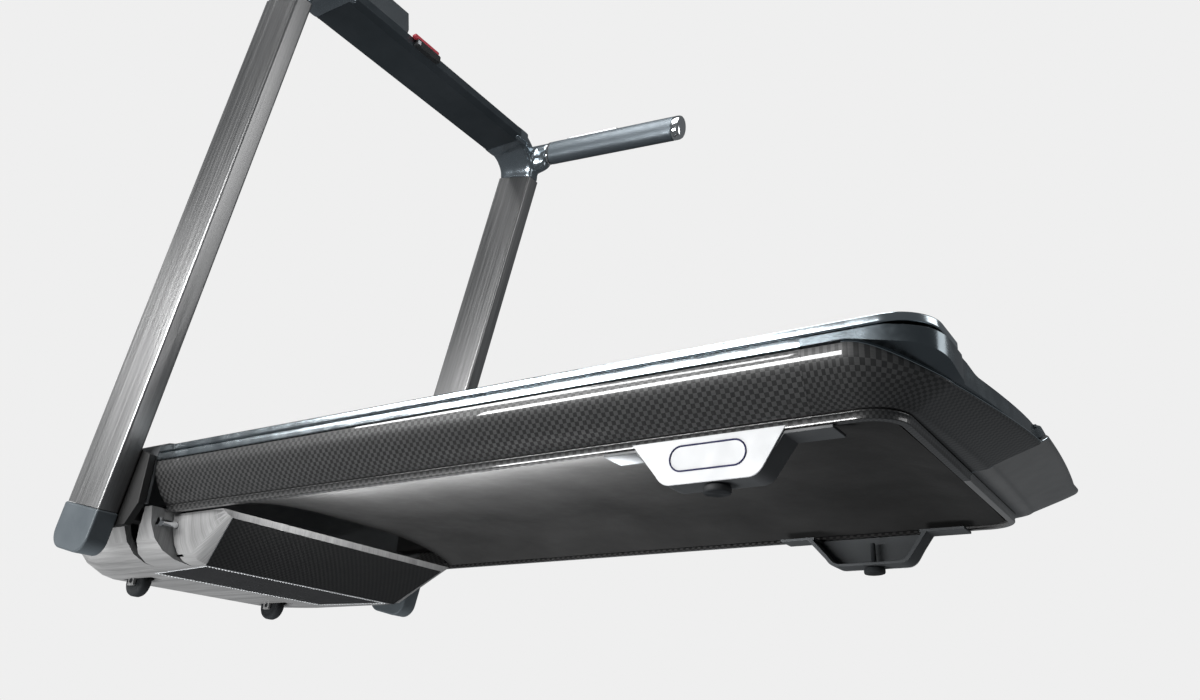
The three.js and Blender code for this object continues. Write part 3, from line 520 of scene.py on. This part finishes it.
def rear_stations(name, side, corner_steps=30, rear_steps=24):
    """From the end of the skirt, round the corner, to the middle of the rear."""
    half = HALVES[name]
    corner_x, corner_y = REAR_LIP - CORNER, LIP_Y - CORNER
    reach_y = SIDE_Y - corner_y
    reach_x = half["middle"] - half["bow"] - corner_x
    stations = side_stations(side, SKIRT_END + 0.0003, corner_x - 0.002, 6)
    for i in range(corner_steps + 1):
        a = math.pi / 2 * i / corner_steps
        sin, cos = math.sin(a), math.cos(a)
        reach = superellipse(sin, cos, reach_x, reach_y, half["square"]) - CORNER
        flared = superellipse(sin, cos, 0.1005, reach_y + 0.002, 4.5) - CORNER
        drop = half["drop"] * sin ** 1.6
        trim_top = RAIL_LOW - (RAIL_LOW - 0.130) * max(0.0, sin - 0.5) * 2
        trim_reach = max(flared, reach + 0.001) if side < 0 else reach - 0.014 * sin
        stations.append(Station(corner_x + CORNER * sin, side * (corner_y + CORNER * cos), sin, side * cos,
                                reach, TOP_Z - drop, trim_reach, trim_top))
    for i in range(1, rear_steps + 1):
        share = 1 - i / rear_steps
        reach = half["middle"] - half["bow"] * share ** half["power"] - REAR_LIP
        y = corner_y * share
        trim = reach - 0.006 + 0.012 * share if side < 0 else reach - 0.008 - 0.006 * share
        rise = max(0.0, min(1.0, (y - 0.190) / 0.03))
        stations.append(Station(REAR_LIP, side * max(y, 0.0002), 1.0, 0.0, reach, TOP_Z - half["drop"], trim,
                                SHELF_Z + (0.130 - SHELF_Z) * rise))
    return stations


def flank(reach, top, turned):
    """Outer face of the shell from the lip up: flat lip, small roll, then a long swell to the top."""
    height = top - LIP_Z
    by_side = ((0.31, 0.165), (0.40, 0.215), (0.62, 0.349), (0.86, 0.585), (0.975, 0.76), (1, 0.90))
    by_rear = ((0.30, 0.300), (0.38, 0.400), (0.62, 0.600), (0.86, 0.800), (0.975, 0.90), (1, 0.955))
    roll = [(0.0105 + 0.0013 * math.sin(a), LIP_Z + 0.0088 - 0.0013 * math.cos(a))
            for a in (math.pi * k / 8 for k in range(9))]
    swell = [(0.0098, LIP_Z + 0.0105)]
    for (u, low), (_, high) in zip(by_side, by_rear):
        swell.append((reach * u, LIP_Z + height * (low + (high - low) * turned)))
    swell = smooth_line(swell + [(reach, top - 0.0015)], 5)
    lip = [(0.0005, LIP_Z), (0.0085, LIP_Z), (0.0095, LIP_Z + 0.001), (0.0095, LIP_Z + 0.006)]
    return lip + roll + [(u, min(z, top - 0.0015)) for u, z in swell] + [(reach - 0.0015, top)]


def shell_section(station, wall=0.0042):
    """Closed section of the shell: its outer face, then an inner face one wall in."""
    line = flank(station.reach, station.top, station.nx ** 2)
    inner = [(max(u - wall, 0.0004), z + 0.0015) for u, z in line[4:-1]]
    inner[-1] = (station.reach - wall - 0.001, station.top)
    return line + inner[::-1]


def shell(node, stations, finish):
    """Skirt or bumper swept along the lip."""
    rings = [station.ring(shell_section(station)) for station in stations]
    return finish_piece(f"{node}_shell", skin(rings), finish, "deck", node, uv=False, sharp=40)


def deck_shell():
    for name, side in SIDES:
        shell(f"side_skirt_{name}", side_stations(side, SKIRT_FRONT, SKIRT_END, 24), "carbon")
    shell("rear_bumper_left", rear_stations("left", -1), "carbon_fine")
    shell("rear_bumper_right", rear_stations("right", 1), "plain")


def rear_edges():
    """Thin bright edging along the top of the woven half and down the seam between the halves."""
    stations = rear_stations("left", -1)[6:]
    top = [station.ring([(station.reach - 0.0004, station.top - 0.0002)])[0] for station in stations]
    finish_piece("rear_edge_left", rod(top, 0.0008), "silver", "deck", ())
    plain_middle = rear_stations("right", 1)[-1]
    seam = [(x, 0.0006, z) for x, _,
            z in plain_middle.ring(flank(plain_middle.reach, plain_middle.top, 1.0)[13:-4])]
    finish_piece("rear_seam", rod(seam, 0.0007), "silver", "deck", ())


def rear_trim():
    """Glossy strip between shell and rails, flared under the rails' ends, low across the rear."""
    rings = []
    for station in rear_stations("left", -1) + rear_stations("right", 1)[-2::-1]:
        low = station.top + 0.0003
        outer = station.trim_reach
        inner = min(station.reach, outer) - 0.005
        high = station.trim_top
        edge = low + max(0.0012, min(0.006, abs(outer - station.reach) * 0.25))
        section = [(inner, low), (min(station.reach, outer) - 0.0012, low), (outer, edge),
                   (outer, high - 0.0012), (outer - 0.0012, high), (inner, high)]
        rings.append(station.ring(section))
    finish_piece("rear_trim_band", skin(rings), "slate", "deck", "rear_trim", uv=False,
                 sharp=40)
    edge = [(s.x + s.trim_reach - 0.004, s.y) for s in rear_stations("left", -1) if abs(s.y) < 0.2045]
    edge += [(s.x + s.trim_reach - 0.004, s.y) for s in rear_stations("right", 1)[::-1] if abs(s.y) < 0.2045]
    shelf = [(1.289, -0.2045)] + edge + [(1.289, 0.2045)]
    finish_piece("rear_shelf", prism(shelf, "z", SHELF_Z - 0.004, SHELF_Z - 0.0004), "cap", "deck", ())
    # drain hole drawn as a solid black disk: painted shade standing in for the opening
    hole = turned([(0.0, 0.1255), (0.0036, 0.1255), (0.0036, 0.1285), (0.0, 0.1285)], "z",
                  (1.283, -0.262, 0), 20)
    finish_piece("rear_drain_hole", hole, "black", "deck", ())


def trim_strips():
    for name, side in SIDES:
        y0, y1 = sorted((side * 0.284, side * 0.3131))
        band = prism(rounded(y0, y1, TOP_Z + 0.0003, RAIL_LOW, 0.0012, 3), "x", SKIRT_FRONT, SKIRT_END)
        finish_piece(f"trim_strip_{name}_band", band, "silver", "deck", f"trim_strip_{name}",
                     sharp=40)


# foot rail's front end, outer side and corner radius; its pad's ribs, from the innermost outwards
RAIL_FRONT = 0.060
RAIL_OUTER = 0.315
RAIL_CORNER = 0.052
RIB_X = (0.366, 1.060)
RIB_Y = 0.2215
RIB_PITCH = 0.0185
RIB_HALF = 0.0065


def foot_rails():
    for name, side in SIDES:
        bend_x, bend_y = RAIL_END - RAIL_CORNER, RAIL_OUTER - RAIL_CORNER
        outline = [(RAIL_FRONT, side * RAIL_INNER), (RAIL_END, side * RAIL_INNER), (RAIL_END, side * bend_y)]
        for i in range(1, 17):
            a = math.pi / 2 * i / 16
            outline.append((bend_x + RAIL_CORNER * math.cos(a), side * (bend_y + RAIL_CORNER * math.sin(a))))
        outline.append((RAIL_FRONT, side * RAIL_OUTER))
        bar = prism(outline, "z", RAIL_LOW + 0.0006, RAIL_TOP)
        finish_piece(f"foot_rail_{name}_bar", bar, "silver", "deck", f"foot_rail_{name}",
                     bevel=0.0022)
        ribs = []
        for k in range(5):
            y = side * (RIB_Y + RIB_PITCH * k)
            ribs.append(prism(rounded(*RIB_X, y - RIB_HALF, y + RIB_HALF, 0.004), "z",
                              RAIL_TOP - 0.0005, RAIL_TOP + 0.0045))
        finish_piece(f"rail_grip_{name}", merge(*ribs), "rubber", "deck", (), bevel=0.0008)


def belly():
    """Deep arched underside sheet; its sides stand up steeply from the lip."""
    rings = []
    stretch = [0.177, 0.30, 0.60, 0.90, 1.10,
               1.150] + [REAR_LIP - CORNER + 0.028 * math.sin(math.pi / 2 * k / 8)
                                                        for k in range(9)]
    for x in stretch:
        into = max(0.0, x - (REAR_LIP - CORNER))
        half = min(LIP_Y, LIP_Y - CORNER + math.sqrt(CORNER ** 2 - into ** 2)) - 0.005
        rise = 0.028 * min(1.0, (REAR_LIP - x) / 0.084)
        lower = []
        for k in range(61):
            share = math.sin(math.pi / 2 * (-1 + k / 30))
            lower.append((half * share, LIP_Z + 0.0045 + rise * (1 - abs(share) ** 3.2)))
        upper = [(y, z + 0.003) for y, z in reversed(lower)]
        rings.append([(x, y, z) for y, z in lower + upper])
    finish_piece("belly_sheet", skin(rings), "belly", "deck", "belly_pan", sharp=50)


# ---------------------------------------------------------------- running gear and frame
def running_gear():
    refine("running_belt", "belt", bevel=0)
    refine("running_board", "wood")
    refine("front_roller", "steel", "front_roller", 0.0006)
    refine("rear_roller", "steel", "rear_roller", 0.0006)
    for node in ("front_axle", "rear_axle"):
        refine(node, "steel", bevel=0.0006)
    for node in ("frame_side_left", "frame_side_right", "frame_cross_front", "frame_cross_rear"):
        refine(node, "black", bevel=0.0015)
    refine("motor", "cover", bevel=0.0012)
    refine("motor_pulley", "steel", "motor_pulley", 0.0004)
    refine("drive_belt", "rubber", bevel=0)
    refine("motor_controller", "aluminium", bevel=0.002)


# vent panel: front and rear edge, half width at each; the stitches round it
VENT_X = (-0.0795, 0.0775)
VENT_HALF = (0.1815, 0.1995)
STITCH_PITCH, STITCH_Z, STITCH_RADIUS, STITCH_DROP = 0.0062, -0.0148, 0.0021, 0.0011


def motor_bay():
    refine("motor_hood", "hood", bevel=0.0015)
    refine("motor_tray", "tray", bevel=0.0010)
    refine("vent_mesh", "mesh", bevel=0.0004)
    refine("power_rocker", "red", "power_rocker", 0.0006)
    (front, rear), (front_half, rear_half) = VENT_X, VENT_HALF
    corners = [(front, -front_half), (rear, -rear_half), (rear, rear_half), (front, front_half)]
    beads = []
    for (x0, y0), (x1, y1) in zip(corners, corners[1:] + corners[:1]):
        count = int(math.hypot(x1 - x0, y1 - y0) / STITCH_PITCH)
        for k in range(count):
            t = k / count
            beads.append(bead((x0 + (x1 - x0) * t, y0 + (y1 - y0) * t, STITCH_Z), STITCH_RADIUS, STITCH_DROP))
    finish_piece("vent_stitches", merge(*beads), "mark", "deck", (), sharp=60)
    rear_wall()


def wall_edge(share):
    """Half width and height of the tray's rear wall, share of the way up it."""
    return 0.210 + 0.030 * share, -0.0158 + 0.062 * share


def rear_wall():
    """Woven panel on the sloping rear wall of the tray, with a bright rim."""
    front, rear = 0.0915, 0.1745
    rings = []
    for k in range(13):
        share = k / 12
        half, z = wall_edge(share)
        x = front + (rear - front) * share
        lower = [(x, half * (-1 + j / 12), z) for j in range(25)]
        rings.append(lower + [(px, py, pz + 0.0006) for px, py, pz in reversed(lower)])
    finish_piece("tray_rear_wall", skin(rings), "carbon_small", "deck", (), uv=False)
    path = []
    for side, order in ((-1, range(12, -1, -1)), (1, range(13))):
        for k in order:
            half, z = wall_edge(k / 12)
            path.append((front + (rear - front) * k / 12 - 0.0006, side * half, z - 0.0002))
    finish_piece("tray_wall_rim", rod(path, 0.0007), "steel", "deck", ())


WHEEL_X, WHEEL_Y, WHEEL_Z = -0.176, 0.147, -0.0187


def transport_wheels():
    for name, side in SIDES:
        tread = [(0.004, -0.015), (0.004, -0.0098), (0.014, -0.0098), (0.0165, -0.0088), (0.019, -0.0098),
                 (0.0215, -0.0098), (0.0245, -0.0080), (0.0259, -0.0048), (0.0260, 0.0), (0.0259, 0.0048),
                 (0.0245, 0.0080), (0.0215, 0.0098), (0.019, 0.0098), (0.0165, 0.0088), (0.014, 0.0098),
                 (0.004, 0.0098), (0.004, 0.015)]
        wheel = turned(tread, "y", (WHEEL_X, side * WHEEL_Y, WHEEL_Z), 56)
        finish_piece(f"transport_wheel_{name}_tyre", wheel, "rubber", f"transport_wheel_{name}",
                     f"transport_wheel_{name}", sharp=50)


# ---------------------------------------------------------------- mid feet
def foot_outline(z_top, corner=0.012):
    """Trapezoid of the bracket with rounded lower corners."""
    x0, x1, x2, x3, z0 = 0.925, 1.118, 0.965, 1.085, 0.010
    points = [(x1, z_top), (x0, z_top)]
    for (start, bend, end) in (((x2 - 0.6 * corner, z0 + corner), (x2, z0), (x2 + corner, z0)),
                               ((x3 - corner, z0), (x3, z0), (x3 + 0.6 * corner, z0 + corner))):
        for k in range(9):
            t = k / 8
            points.append(tuple((1 - t) ** 2 * a + 2 * t * (1 - t) * b + t * t * c
                                for a, b, c in zip(start, bend, end)))
    return points


def stadium(cx, cz, length, height, steps=14):
    """Outline with straight sides and round ends."""
    radius = height / 2
    points = []
    for centre, start in ((cx + length / 2 - radius, -90), (cx - length / 2 + radius, 90)):
        for k in range(steps + 1):
            a = math.radians(start + 180 * k / steps)
            points.append((centre + radius * math.cos(a), cz + radius * math.sin(a)))
    return points


def mid_feet():
    for name, side in SIDES:
        refine(f"foot_bracket_{name}", "hood", bevel=0.0012)
        face = side * 0.2773
        plate = prism(foot_outline(0.0625), "y", *sorted((side * 0.2753, face)))
        finish_piece(f"bracket_plate_{name}_face", plate, "plate", "deck", f"bracket_plate_{name}",
                     bevel=0.0007)
        loop = stadium(1.0235, 0.0395, 0.095, 0.029)
        ring = rod([(x, face + side * 0.0001, z) for x, z in loop + loop[:1]], 0.0011)
        finish_piece(f"badge_ring_{name}", ring, "navy", "deck", ())
        place = Matrix.Translation(DECK @ Vector((1.027, side * 0.258, 0)))
        pad = [(0.0, 0.0), (0.0135, 0.0), (0.0152, 0.0006), (0.0160, 0.0022), (0.0160, 0.0066),
               (0.0152, 0.0084), (0.0125, 0.0090), (0.0042, 0.0090), (0.0042, 0.0120), (0.0040, 0.0130),
               (0.0040, 0.0460), (0.0, 0.0460)]
        finish_piece(f"leveling_foot_{name}_pad", turned(pad, "z", (0, 0, 0)), "rubber",
                     f"leveling_foot_{name}", f"leveling_foot_{name}", place, sharp=50)


# ---------------------------------------------------------------- hinges and uprights
# lock pin's axis, and how far it reaches from the middle
PIN_X, PIN_Z = 0.062, 0.040
PIN_INNER, PIN_SHOULDER = 0.200, 0.2835


def hinges():
    for name, side in SIDES:
        refine(f"hinge_bracket_{name}", "black", bevel=0.0015)
        shaft = [(0.0, PIN_INNER), (0.005, PIN_INNER), (0.005, PIN_SHOULDER), (0.0, PIN_SHOULDER)]
        knob = [(0.0, 0.2832), (0.0062, 0.2832), (0.0078, 0.2846), (0.0078, 0.2896), (0.0064, 0.291),
                (0.0, 0.291)]
        place = (PIN_X, 0, PIN_Z)
        parts = [turned([(r, side * h) for r, h in profile], "y", place, count)
                 for profile, count in ((shaft, 24), (knob, 6))]
        finish_piece(f"lock_pin_{name}_turned", merge(*parts), "chrome", f"lock_pin_{name}",
                     f"lock_pin_{name}", sharp=25)


UPRIGHT_TOP = 0.992
UPRIGHT_OUTER, UPRIGHT_THICK, UPRIGHT_DEPTH = 0.360, 0.034, 0.095
# boot on the upright's foot: its top, how far it stands proud, its round corners
BOOT_TOP = 0.0488
BOOT_PROUD = 0.002
BOOT_CORNER = 0.028
BOOT_CORNER_Z = 0.006


def uprights():
    inner = UPRIGHT_OUTER - UPRIGHT_THICK
    for name, side in SIDES:
        y0, y1 = sorted((side * inner, side * UPRIGHT_OUTER))
        tube = prism(rounded(-UPRIGHT_DEPTH, 0.0, y0, y1, 0.0042, 8), "z", BOOT_TOP + 0.0008, UPRIGHT_TOP)
        finish_piece(f"upright_{name}_tube", tube, "upright", "handrail", f"upright_{name}",
                     LEAN, uv=False, sharp=60)
        y0, y1 = sorted((side * inner, side * (UPRIGHT_OUTER + BOOT_PROUD)))
        front, back = -UPRIGHT_DEPTH - BOOT_PROUD, BOOT_PROUD
        outline = [(back, BOOT_TOP), (front, BOOT_TOP)]
        for x, start in ((front + BOOT_CORNER, 180), (back - BOOT_CORNER, 270)):
            for k in range(13):
                a = math.radians(start + 90 * k / 12)
                outline.append((x + BOOT_CORNER * math.cos(a), BOOT_CORNER_Z + BOOT_CORNER * math.sin(a)))
        finish_piece(f"upright_cap_{name}_boot", prism(outline, "y", y0, y1), "cap", "handrail",
                     f"upright_cap_{name}", LEAN, bevel=0.0035, segments=4)


# ---------------------------------------------------------------- handrail
BEAM_X = (0.136, 0.243)
BEAM_LOW = 1.022
NECK_TOP = 1.056
ELBOW_INSIDE = 0.078
GRIP_TILT = math.radians(6.4)
GRIP_Y, GRIP_Z = 0.019, 0.0285


def upright_top(u):
    """Where the upright's cut top is, u along its depth, in the deck's frame."""
    return (u * math.cos(LEAN_ANGLE) + UPRIGHT_TOP * math.sin(LEAN_ANGLE),
            UPRIGHT_TOP * math.cos(LEAN_ANGLE) - u * math.sin(LEAN_ANGLE))


def elbow_ring(share, side):
    """Rounded section of the bend, from the upright's top (0) to the console bar's end (1)."""
    a = share * math.pi / 2
    centre_y = UPRIGHT_OUTER - UPRIGHT_THICK - ELBOW_INSIDE
    centre_z = BEAM_LOW - ELBOW_INSIDE
    thick = UPRIGHT_THICK + (NECK_TOP - BEAM_LOW - UPRIGHT_THICK) * share
    ends = []
    for u, x in ((-UPRIGHT_DEPTH, BEAM_X[0]), (0.0, BEAM_X[1])):
        foot_x, foot_z = upright_top(u)
        ends.append((foot_x + (x - foot_x) * share, (1 - share) * (foot_z + 0.0003 - centre_z)))
    points = []
    for across, out in rounded(0, 1, 0, 1, 0.16, 6):
        x = ends[0][0] + (ends[1][0] - ends[0][0]) * (0.5 + (across - 0.5) * 0.985)
        slant = ends[0][1] + (ends[1][1] - ends[0][1]) * across
        radius = ELBOW_INSIDE + thick * out
        points.append((x, side * (centre_y + radius * math.cos(a)), centre_z + radius * math.sin(a) + slant))
    return points


def grip_place(side):
    """Where the grip starts and how it is tilted, in the deck's frame."""
    return Matrix.Translation((0.264, side * 0.343, 1.026)) @ Matrix.Rotation(GRIP_TILT, 4, "Y")


def oval_ring(x, grow, segments=48):
    """Ring of the grip's oval at x, with its half sizes times grow."""
    return [(x, GRIP_Y * grow * math.cos(a), GRIP_Z * grow * math.sin(a))
            for a in (2 * math.pi * k / segments for k in range(segments))]


def blended(name, bm, finish, body, replaces, voxel=0.0024, soften=10):
    """Parts grown together into one smooth casting."""
    piece = finish_piece(name, bm, finish, body, replaces)
    remesh = piece.modifiers.new("grow", "REMESH")
    remesh.mode = "VOXEL"
    remesh.voxel_size = voxel
    remesh.use_smooth_shade = True
    smooth = piece.modifiers.new("soften", "SMOOTH")
    smooth.iterations = soften
    return piece


def elbows():
    for name, side in SIDES:
        bend = skin([elbow_ring(k / 20, side) for k in range(21)])
        x0, x1 = BEAM_X
        y0, y1 = sorted((side * 0.2584, side * 0.286))
        neck = prism(rounded(x0 + 0.0006, x1 - 0.0006, BEAM_LOW, NECK_TOP, 0.008), "y", y0, y1)
        socket = skin([oval_ring(x, grow) for x, grow in ((-0.080, 0.94), (-0.002, 0.94), (-0.0006, 0.93))])
        socket.transform(grip_place(side))
        lug = skin([oval_ring(x, grow) for x,
                    grow in ((-0.075, 1.30), (-0.045, 1.20), (-0.018, 0.98), (-0.006, 0.80))])
        lug.transform(Matrix.Translation((0, 0, -0.014)) @ grip_place(side))
        blended(f"elbow_{name}_casting", merge(bend, neck, socket, lug), "elbow", "handrail", f"elbow_{name}")


def grips():
    for name, side in SIDES:
        place = DECK @ grip_place(side)
        sleeve = skin([oval_ring(x, grow) for x, grow in
                       ((0.0065, 0.95), (0.0075, 0.985), (0.010, 1.0), (0.334, 1.0), (0.3365, 0.985),
                        (0.3378, 0.95))])
        finish_piece(f"grip_{name}_sleeve", sleeve, "grip", "handrail", f"grip_{name}", place,
                     uv=False)
        root = skin([oval_ring(x, grow) for x,
                     grow in ((0.0003, 0.93), (0.0012, 0.995), (0.0035, 0.995), (0.0042, 0.95))])
        finish_piece(f"grip_ring_{name}", root, "chrome", "handrail", (), place, uv=False)
        gap = skin([oval_ring(x, 0.94) for x in (0.0040, 0.0066)])
        finish_piece(f"grip_seam_{name}", gap, "black", "handrail", (), place, uv=False)
        dome = [(0.3383, 0.97), (0.3395, 1.0), (0.3450, 1.0), (0.3500, 0.985), (0.3540, 0.93), (0.3565, 0.82),
                (0.3578, 0.66), (0.3583, 0.40), (0.3583, 0.02)]
        finish_piece(f"grip_cap_{name}_dome", skin([oval_ring(x, grow) for x, grow in dome]), "chrome",
                     "handrail", f"grip_cap_{name}", place, uv=False, sharp=50)
        pulse_pad(name, place)


def pulse_pad(name, place):
    """Metal contact laid over the top of the grip."""
    rings = []
    for x, lift in ((0.048, 0.0004), (0.050, 0.0022), (0.056, 0.0030), (0.180, 0.0030), (0.186, 0.0022),
                    (0.188, 0.0004)):
        top = []
        for k in range(17):
            a = math.radians(90 - 26 + 52 * k / 16)
            edge = min(1.0, (8 - abs(k - 8)) / 2)
            top.append((x, (GRIP_Y + lift * edge) * math.cos(a), (GRIP_Z + lift * edge) * math.sin(a)))
        under = [(x, y * 0.9, z - 0.004) for _, y, z in reversed(top)]
        rings.append(top + under)
    finish_piece(f"pulse_pad_{name}_plate", skin(rings), "steel", "handrail", f"pulse_pad_{name}",
                 place,
                 uv=False)


def console():
    refine("console_bar", "beam", "handrail", 0.0016)
    refine("display_panel", "screen", "handrail", 0.0006)
    slope = math.atan2(0.024, 0.097)
    tilt = Matrix.Translation((0.1895, 0, 1.0642)) @ Matrix.Rotation(slope, 4, "Y")
    windows = []
    for cy, half in ((-0.062, 0.026), (0.0, 0.026), (0.062, 0.026)):
        frame_line = rounded(-0.018, 0.018, cy - half, cy + half, 0.004)
        windows.append(rod([(x, y, -0.0004) for x, y in frame_line + frame_line[:1]], 0.0004, 6))
    finish_piece("display_windows", merge(*windows), "mark", "handrail", (), DECK @ tilt)
    for node, y, finish, slot in (("start_stop_button", 0.130, "red", "button_red"),
                                  ("speed_up_button", 0.170, "rubber", "button_black"),
                                  ("speed_down_button", 0.210, "rubber", "button_black")):
        refine(node, finish, node, 0.0007)
        collar = [(0.0128, -0.0006), (0.0130, 0.0009), (0.0142, 0.0009), (0.0148, 0.0002), (0.0148, -0.0006),
                  (0.0128, -0.0006)]
        ring = turned(collar, "z", (0, y, 0), 40, caps=False)
        finish_piece(f"{node}_collar", ring, "chrome", "handrail", (), DECK @ tilt)
    refine("tablet_rest", "cap", "handrail", 0.0012)
    safety_key()


# safety key: where it meets the console bar, and how far its body stands out from there
KEY_FACE = 0.2433
KEY_BACK = 0.2545


def safety_key():
    body = prism(rounded(-0.096, -0.030, 1.030, 1.0462, 0.003), "x", KEY_FACE, KEY_BACK)
    finish_piece("safety_key_body", body, "rubber", "safety_key", "safety_key", bevel=0.0008)
    strip = prism(rounded(-0.104, -0.034, 1.0464, 1.0550, 0.0025), "x", KEY_FACE, 0.2522)
    finish_piece("safety_key_strip", strip, "red", "safety_key", (), bevel=0.0010)
    tab = prism(rounded(-0.0955, -0.0885, 1.0335, 1.0425, 0.001), "x", KEY_BACK, KEY_BACK + 0.0005)
    finish_piece("safety_key_tab", tab, "mark", "safety_key", (), bevel=0.0002)


# ---------------------------------------------------------------- stage
AMBIENT = 0.13
NOT_MIRRORED = ("belly_light", "low_softbox")
# name, place and aim in the deck's frame, width, height, watts
LIGHTS = (
    ("side_softbox", (-0.60, -2.30, 1.05), (0.6, -0.3, 0.14), 1.7, 0.20, 26),
    ("strip_softbox", (-0.205, -2.30, 0.57), (-0.205, 0.0, 0.57), 1.47, 0.34, 52),
    ("high_softbox", (0.4, -0.9, 2.6), (0.4, 0, 0.3), 2.2, 1.4, 75),
    ("low_softbox", (-0.5, -0.9, -1.6), (0.0, 0, 0.0), 1.4, 1.0, 62),
    ("belly_light", (0.60, -0.238, 0.006), (0.60, -0.165, 0.085), 0.60, 0.03, 8.0),
    ("rear_softbox", (3.0, 0.6, 0.9), (0.8, 0, 0.2), 1.2, 1.4, 14),
)


def floor_material():
    """Pale floor that is there only from above, so that a low camera can look up through it."""
    g = Graph("floor", 0.6)
    g.shader.inputs["Base Color"].default_value = (0.16, 0.16, 0.16, 1)
    g.shader.inputs["Emission Color"].default_value = (0.86, 0.86, 0.86, 1)
    g.shader.inputs["Emission Strength"].default_value = 0.84
    clear = g.node("ShaderNodeBsdfTransparent")
    both = g.node("ShaderNodeMixShader")
    side = g.node("ShaderNodeNewGeometry").outputs["Backfacing"]
    g.link(side, both.inputs["Fac"])
    g.link(g.shader.outputs["BSDF"], both.inputs[1])
    g.link(clear.outputs["BSDF"], both.inputs[2])
    g.link(both.outputs["Shader"], g.tree.nodes["Material Output"].inputs["Surface"])
    return g.material


def studio():
    bm = bmesh.new()
    bm.faces.new([bm.verts.new(p) for p in ((-9, -9, 0), (9, -9, 0), (9, 9, 0), (-9, 9, 0))])
    mesh = bpy.data.meshes.new("floor")
    bm.to_mesh(mesh)
    bm.free()
    floor = bpy.data.objects.new("floor", mesh)
    bpy.context.collection.objects.link(floor)
    mesh.materials.append(floor_material())
    for flag in ("visible_diffuse", "visible_glossy", "visible_transmission", "visible_shadow"):
        setattr(floor, flag, False)

    world = bpy.data.worlds.new("studio")
    bpy.context.scene.world = world
    world.use_nodes = True
    tree = world.node_tree
    ground = tree.nodes["Background"]
    seen = tree.nodes.new("ShaderNodeBackground")
    seen.inputs["Color"].default_value = (0.863, 0.863, 0.863, 1)
    ground.inputs["Color"].default_value = (0.9, 0.95, 1.0, 1)
    ground.inputs["Strength"].default_value = AMBIENT
    pick = tree.nodes.new("ShaderNodeMixShader")
    ray = tree.nodes.new("ShaderNodeLightPath")
    tree.links.new(ray.outputs["Is Camera Ray"], pick.inputs["Fac"])
    tree.links.new(ground.outputs[0], pick.inputs[1])
    tree.links.new(seen.outputs[0], pick.inputs[2])
    tree.links.new(pick.outputs[0], tree.nodes["World Output"].inputs["Surface"])

    for name, place, aim, width, height, power in LIGHTS:
        data = bpy.data.lights.new(name, "AREA")
        data.shape = "RECTANGLE"
        data.size, data.size_y, data.energy = width, height, power
        lamp = bpy.data.objects.new(name, data)
        bpy.context.collection.objects.link(lamp)
        spot, target = DECK @ Vector(place), DECK @ Vector(aim)
        back = (spot - target).normalized()
        lamp.matrix_world = Matrix.Translation(spot) @ back.to_track_quat("Z", "Y").to_matrix().to_4x4()
        lamp.visible_camera = False
        lamp.visible_glossy = name not in NOT_MIRRORED
    bpy.context.scene.view_settings.view_transform = "Standard"


# sensor width and focal length in millimetres, shift as a share of the frame's width
SENSOR = 36
LENS = 30.189
SHIFT = (-0.0345, -0.0149166667)
# eye's place in the deck's frame, and the turn of the view as an axis times an angle in radians
EYE_PLACE = (1.530, -1.228, -0.277)
EYE_TURN = (-0.4071, -0.0694, -0.5454)


def camera():
    """Photograph's view: low, near side, from behind the user's end."""
    data = bpy.data.cameras.new("camera")
    data.sensor_width = SENSOR
    data.lens = LENS
    data.shift_x, data.shift_y = SHIFT
    data.clip_start = 0.05
    turn = Vector(EYE_TURN)
    angle = turn.length
    axis = turn / angle
    rows = Matrix(((1, 0, 0), (0, 0, -1), (0, 1, 0))) @ Matrix.Rotation(angle, 3, axis)
    right, down, ahead = rows[0], rows[1], rows[2]
    pose = Matrix((right, -down, -ahead)).transposed().to_4x4()
    eye = bpy.data.objects.new("camera", data)
    bpy.context.collection.objects.link(eye)
    eye.matrix_world = DECK @ Matrix.Translation(EYE_PLACE) @ pose
    bpy.context.scene.camera = eye


camera()
studio()
deck_shell()
rear_edges()
rear_trim()
trim_strips()
foot_rails()
belly()
running_gear()
motor_bay()
transport_wheels()
mid_feet()
hinges()
uprights()
elbows()
grips()
console()
